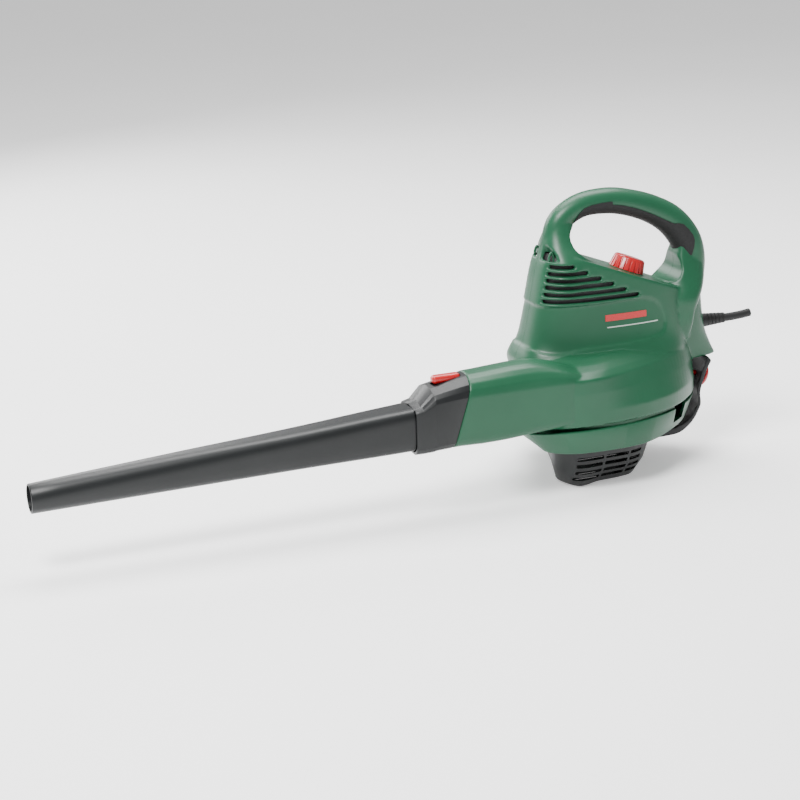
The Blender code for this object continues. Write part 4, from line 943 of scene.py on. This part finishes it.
# blower tube, its collar and the release button
tube = {
    # station, half width, bottom, top, roundness
    "stations": ((-0.2853, 0.0235, 0.0795, 0.1300, 0.20), (-0.330, 0.0228, 0.0785, 0.1270, 0.30),
                 (-0.430, 0.0210, 0.0768, 0.1198, 0.50), (-0.560, 0.0190, 0.0735, 0.1128, 0.80),
                 (-0.7195, 0.0165, 0.0697, 0.1027, 1.0)),
    "wall": 0.0022, "tip": 0.0011, "collarWall": 0.0025, "seamGap": -0.0003,
    # collar from the seam to its front: half width, bottom, ridge, top
    "collarSeam": (0.0315, 0.0797, 0.1390, 0.1600), "collarRear": (0.0315, 0.0787, 0.1380, 0.1555),
    "collarKnee": (0.0305, 0.0775, 0.1360, 0.1500), "collarNeck": (0.0268, 0.0758, 0.1270, 0.1350),
    "collarFront": (0.0258, 0.0758, 0.1255, 0.1325),
    "buttonX": -0.2395,
    # low and high corners, measured from the button's own place along and across
    "shelf": ((-0.0190, -0.0090, 0.1430), (0.0170, 0.0090, 0.1525)),
    "pocket": ((-0.0175, -0.0066, 0.146), (0.0175, 0.0066, 0.170)),
    "button": ((-0.0170, -0.0061, 0.1515), (0.0170, 0.0061, 0.1610)),
}


def tubeLoop(x, half, bottom, top, roundness):
    power, loop = 2.0 + 3.4 * (1.0 - roundness), []
    for index in range(64):
        turn = 2 * math.pi * (index + 0.5) / 64
        y = math.copysign(half * abs(math.cos(turn)) ** (2 / power), math.cos(turn))
        z = math.copysign((top - bottom) / 2 * abs(math.sin(turn)) ** (2 / power), math.sin(turn))
        loop.append(Vector((x, housing["ductY"] + y, (bottom + top) / 2 + z)))
    return loop


def tubeForm(inset, stretch, rounded):
    levels = flowing([(x, half, bottom) for x, half, bottom, top, roundness in tube["stations"]], 5)
    upper = flowing([(top, roundness, 0.0) for x, half, bottom, top, roundness in tube["stations"]], 5)
    rows = [[a.x, a.y - inset, a.z + inset, b.x - inset, min(1.0, b.y)] for a, b in zip(levels, upper)]
    rows[0][0] += stretch
    rows[-1][0] -= stretch
    loops = [tubeLoop(*row) for row in rows]
    if rounded:
        x, half, bottom, top, roundness = rows[-1]
        tip = tube["tip"]
        loops[-1] = tubeLoop(x + tip, half, bottom, top, roundness)
        part = tip * 0.3
        loops.append(tubeLoop(x + part, half - part, bottom + part, top - part, roundness))
        loops.append(tubeLoop(x, half - tip, bottom + tip, top - tip, roundness))
    return lofted("blowerTube", loops)


def collarForm(inset, stretch):
    shift = tube["seamGap"] + stretch
    stations = ((lambda z: seamX(z) + shift, "collarSeam"),
                (lambda z: seamX(z) - 0.020, "collarRear"),
                (lambda z: -0.262 - 0.02 * (0.16 - z), "collarKnee"),
                (lambda z: -0.276, "collarNeck"),
                (lambda z: -0.285 - stretch, "collarFront"))
    loops = []
    for xOf, key in stations:
        half, bottom, ridge, top = tube[key]
        loops.append(ductLoop(xOf, half - inset, bottom + inset, ridge - inset / 2, top - inset))
    return lofted("tubeCollar", loops)


def buttonBox(name, corners, rounding=0.0, segments=3):
    low, high = ((tube["buttonX"] + x, housing["ductY"] + y, z) for x, y, z in corners)
    return roundedBox(name, low, high, rounding, segments)


def makeTube():
    barrel = carved(tubeForm(0.0, 0.0, True), tubeForm(tube["wall"], 0.01, False))
    dressed(barrel, "blackShell", "tube", "black_plastic", "blower_tube", sharp=50.0)
    collar = carved(eased(collarForm(0.0, 0.0), 0.0007, 2, 12.0), collarForm(tube["collarWall"], 0.006))
    joined(collar, trimmed(buttonBox("shelf", tube["shelf"]), collarForm(0.001, 0.0)))
    carved(collar, buttonBox("pocket", tube["pocket"], 0.003, 3))
    dressed(collar, "blackShell", "tube", "black_plastic", "tube_collar", sharp=30.0)
    button = buttonBox("releaseButton", tube["button"], 0.0040, 6)
    dressed(button, "redControl", "button", "red_plastic", "release_button", sharp=60.0)


makeTube()


# button spring: a small coil under the release button
buttonSpring = {"radius": 0.0040, "wire": 0.0003, "turns": 4, "low": 0.1466, "rise": 0.0042, "steps": 20,
                "floor": 0.1463, "keep": 0.36}


def makeButtonSpring():
    x, y, turns, steps = tube["buttonX"], housing["ductY"], buttonSpring["turns"], buttonSpring["steps"]
    radius, low, rise = buttonSpring["radius"], buttonSpring["low"], buttonSpring["rise"]
    line = []
    for index in range(turns * steps + 1):
        angle = 2 * math.pi * index / steps
        line.append(Vector((x + radius * math.cos(angle), y + radius * math.sin(angle),
                            low + rise * index / (turns * steps))))
    stations = [(point, line[min(index + 1, len(line) - 1)] - line[max(index - 1, 0)], buttonSpring["wire"])
                for index, point in enumerate(line)]
    coil = turned("buttonSpringCoil", stations, 10)
    dressed(coil, "zincSteel", "tube", "zinc_steel", "button_spring", sharp=60.0)
    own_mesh(coil)


makeButtonSpring()


# grip lining: dark soft skin on the inner side of the loop handle
grip = {"proud": 0.0009, "depth": 0.0022,
        "edge": ((-0.0500, 0.2960), (-0.0457, 0.3033), (-0.0420, 0.3110), (-0.0350, 0.3180),
                 (-0.0250, 0.3210), (-0.0120, 0.3226), (0.0010, 0.3230), (0.0014, 0.3190),
                 (0.0160, 0.3165), (0.0309, 0.3120), (0.0440, 0.3066), (0.0572, 0.3006), (0.0700, 0.2938),
                 (0.0811, 0.2885), (0.0870, 0.2884), (0.0930, 0.2866), (0.1000, 0.2800), (0.1060, 0.2720),
                 (0.1078, 0.2660), (0.1068, 0.2576), (0.1041, 0.2481)),
        "inner": ((0.0700, 0.2330), (0.0640, 0.2560), (0.0420, 0.2700), (0.0100, 0.2850), (-0.0250, 0.2900),
                  (-0.0420, 0.2980))}


def makeGrip():
    skin = carved(handleForm(-grip["proud"]), handleForm(grip["depth"]))
    trimmed(skin, sidePrism("zone", grip["edge"] + grip["inner"], -0.05, 0.05, 0))
    skin.name = "gripLining"
    dressed(skin, "softGrip", "housing", "soft_grip", "grip_insert", sharp=45.0)


makeGrip()


# lead boot: a ribbed taper where the mains lead leaves the rear
boot = {"start": 0.1150, "plug": 0.0083, "root": 0.0080, "tip": 0.0060, "length": 0.026, "ribs": 5,
        "ribShare": 0.62, "groove": 0.0006, "bevel": 0.0004, "clearance": 0.0003}


def makeBoot():
    x, y, z = lead["exit"]
    ribs, length, bevel, groove = (boot[key] for key in ("ribs", "length", "bevel", "groove"))
    stations = [(boot["start"], boot["plug"]), (x - 0.0010, boot["plug"]), (x + bevel, boot["plug"] - 0.0001)]
    for rib in range(ribs):
        near, far = (x + 0.0010 + length * (rib + part) / ribs for part in (0.0, boot["ribShare"]))
        radius = boot["root"] + (boot["tip"] - boot["root"]) * rib / ribs
        stations += [(near, radius - groove), (near + bevel, radius), (far, radius - 0.0001),
                     (far + bevel, radius - groove - 0.0001)]
    stations.append((x + length, boot["tip"] - bevel))
    made = turned("leadBoot", [((at, y, z), (1.0, 0.0, 0.0), radius) for at, radius in stations], 48)
    carved(made, drum("bore", (0.10, y, z), (0.18, y, z), lead["radius"] + boot["clearance"]))
    dressed(made, "leadRubber", "housing", "cable_rubber", "strain_relief", sharp=50.0)


makeBoot()


# plain red bar and pale line on the side panel, in place of any lettering
panelMark = {"proud": 0.0004, "depth": 0.0012,
             "bars": (("markBar", "redControl", "red_plastic", (-0.024, 0.1880), (0.030, 0.1955), 0.0004),
                      ("markLine", "paleInk", "red_plastic", (-0.022, 0.1800), (0.046, 0.1812), 0.0002))}


def makePanelMark():
    inset = housing["panelDepth"]
    for name, look, slot, low, high, rounding in panelMark["bars"]:
        layer = carved(towerForm(inset - panelMark["proud"], name), towerForm(inset + panelMark["depth"]))
        trimmed(layer, roundedBox("bar", (low[0], -0.09, low[1]), (high[0], -0.02, high[1]), rounding, 2))
        dressed(layer, look, "housing", slot)


makePanelMark()


# floor and light
studio = {
    "floorSize": 40.0, "floorDrop": 0.0006, "floorGrey": (0.86, 0.86, 0.86), "wash": 0.50, "floorGlow": 0.40,
    "mottleScale": 2.0, "mottle": ((0.3, (0.85, 0.85, 0.85)), (0.7, (0.88, 0.88, 0.88))),
    # name, place, aim, width, height, power
    "lights": (("keyPanel", (-1.3, -0.9, 2.2), (-0.15, 0.0, 0.12), 1.0, 0.8, 110.0),
               ("topPanel", (0.1, 0.7, 2.1), (-0.1, 0.0, 0.10), 2.0, 1.2, 95.0),
               ("rimPanel", (-0.9, 1.9, 1.0), (-0.1, 0.0, 0.10), 1.8, 1.0, 45.0)),
}


def makeStudio():
    bm = bmesh.new()
    bmesh.ops.create_grid(bm, x_segments=1, y_segments=1, size=studio["floorSize"])
    floor = pieceFrom(bm, "studioFloor")
    floor.data.transform(Matrix.Translation((0.0, 0.0, -studio["floorDrop"])))
    made, tree, shader = nodeMaterial("paleFloor", studio["floorGrey"], 0.6)
    place = tree.nodes.new("ShaderNodeTexCoord")
    mottle = noiseOn(tree, place, studio["mottleScale"])
    ramp = rampOn(tree, mottle.outputs["Fac"], studio["mottle"])
    tree.links.new(ramp.outputs["Color"], shader.inputs["Base Color"])
    shader.inputs["Emission Color"].default_value = (1.0, 1.0, 1.0, 1.0)
    shader.inputs["Emission Strength"].default_value = studio["floorGlow"]
    floor.data.materials.append(made)
    world = bpy.data.worlds.new("studioWorld")
    world.use_nodes = True
    world.node_tree.nodes["Background"].inputs["Color"].default_value = (1.0, 1.0, 1.0, 1.0)
    world.node_tree.nodes["Background"].inputs["Strength"].default_value = studio["wash"]
    bpy.context.scene.world = world
    for name, place, aim, width, height, power in studio["lights"]:
        data = bpy.data.lights.new(name, "AREA")
        data.shape, data.size, data.size_y, data.energy = "RECTANGLE", width, height, power
        lamp = bpy.data.objects.new(name, data)
        lamp.matrix_world = Matrix.Translation(place) @ facing(Vector(place) - Vector(aim))
        bpy.context.scene.collection.objects.link(lamp)


makeStudio()
print("studio ready")
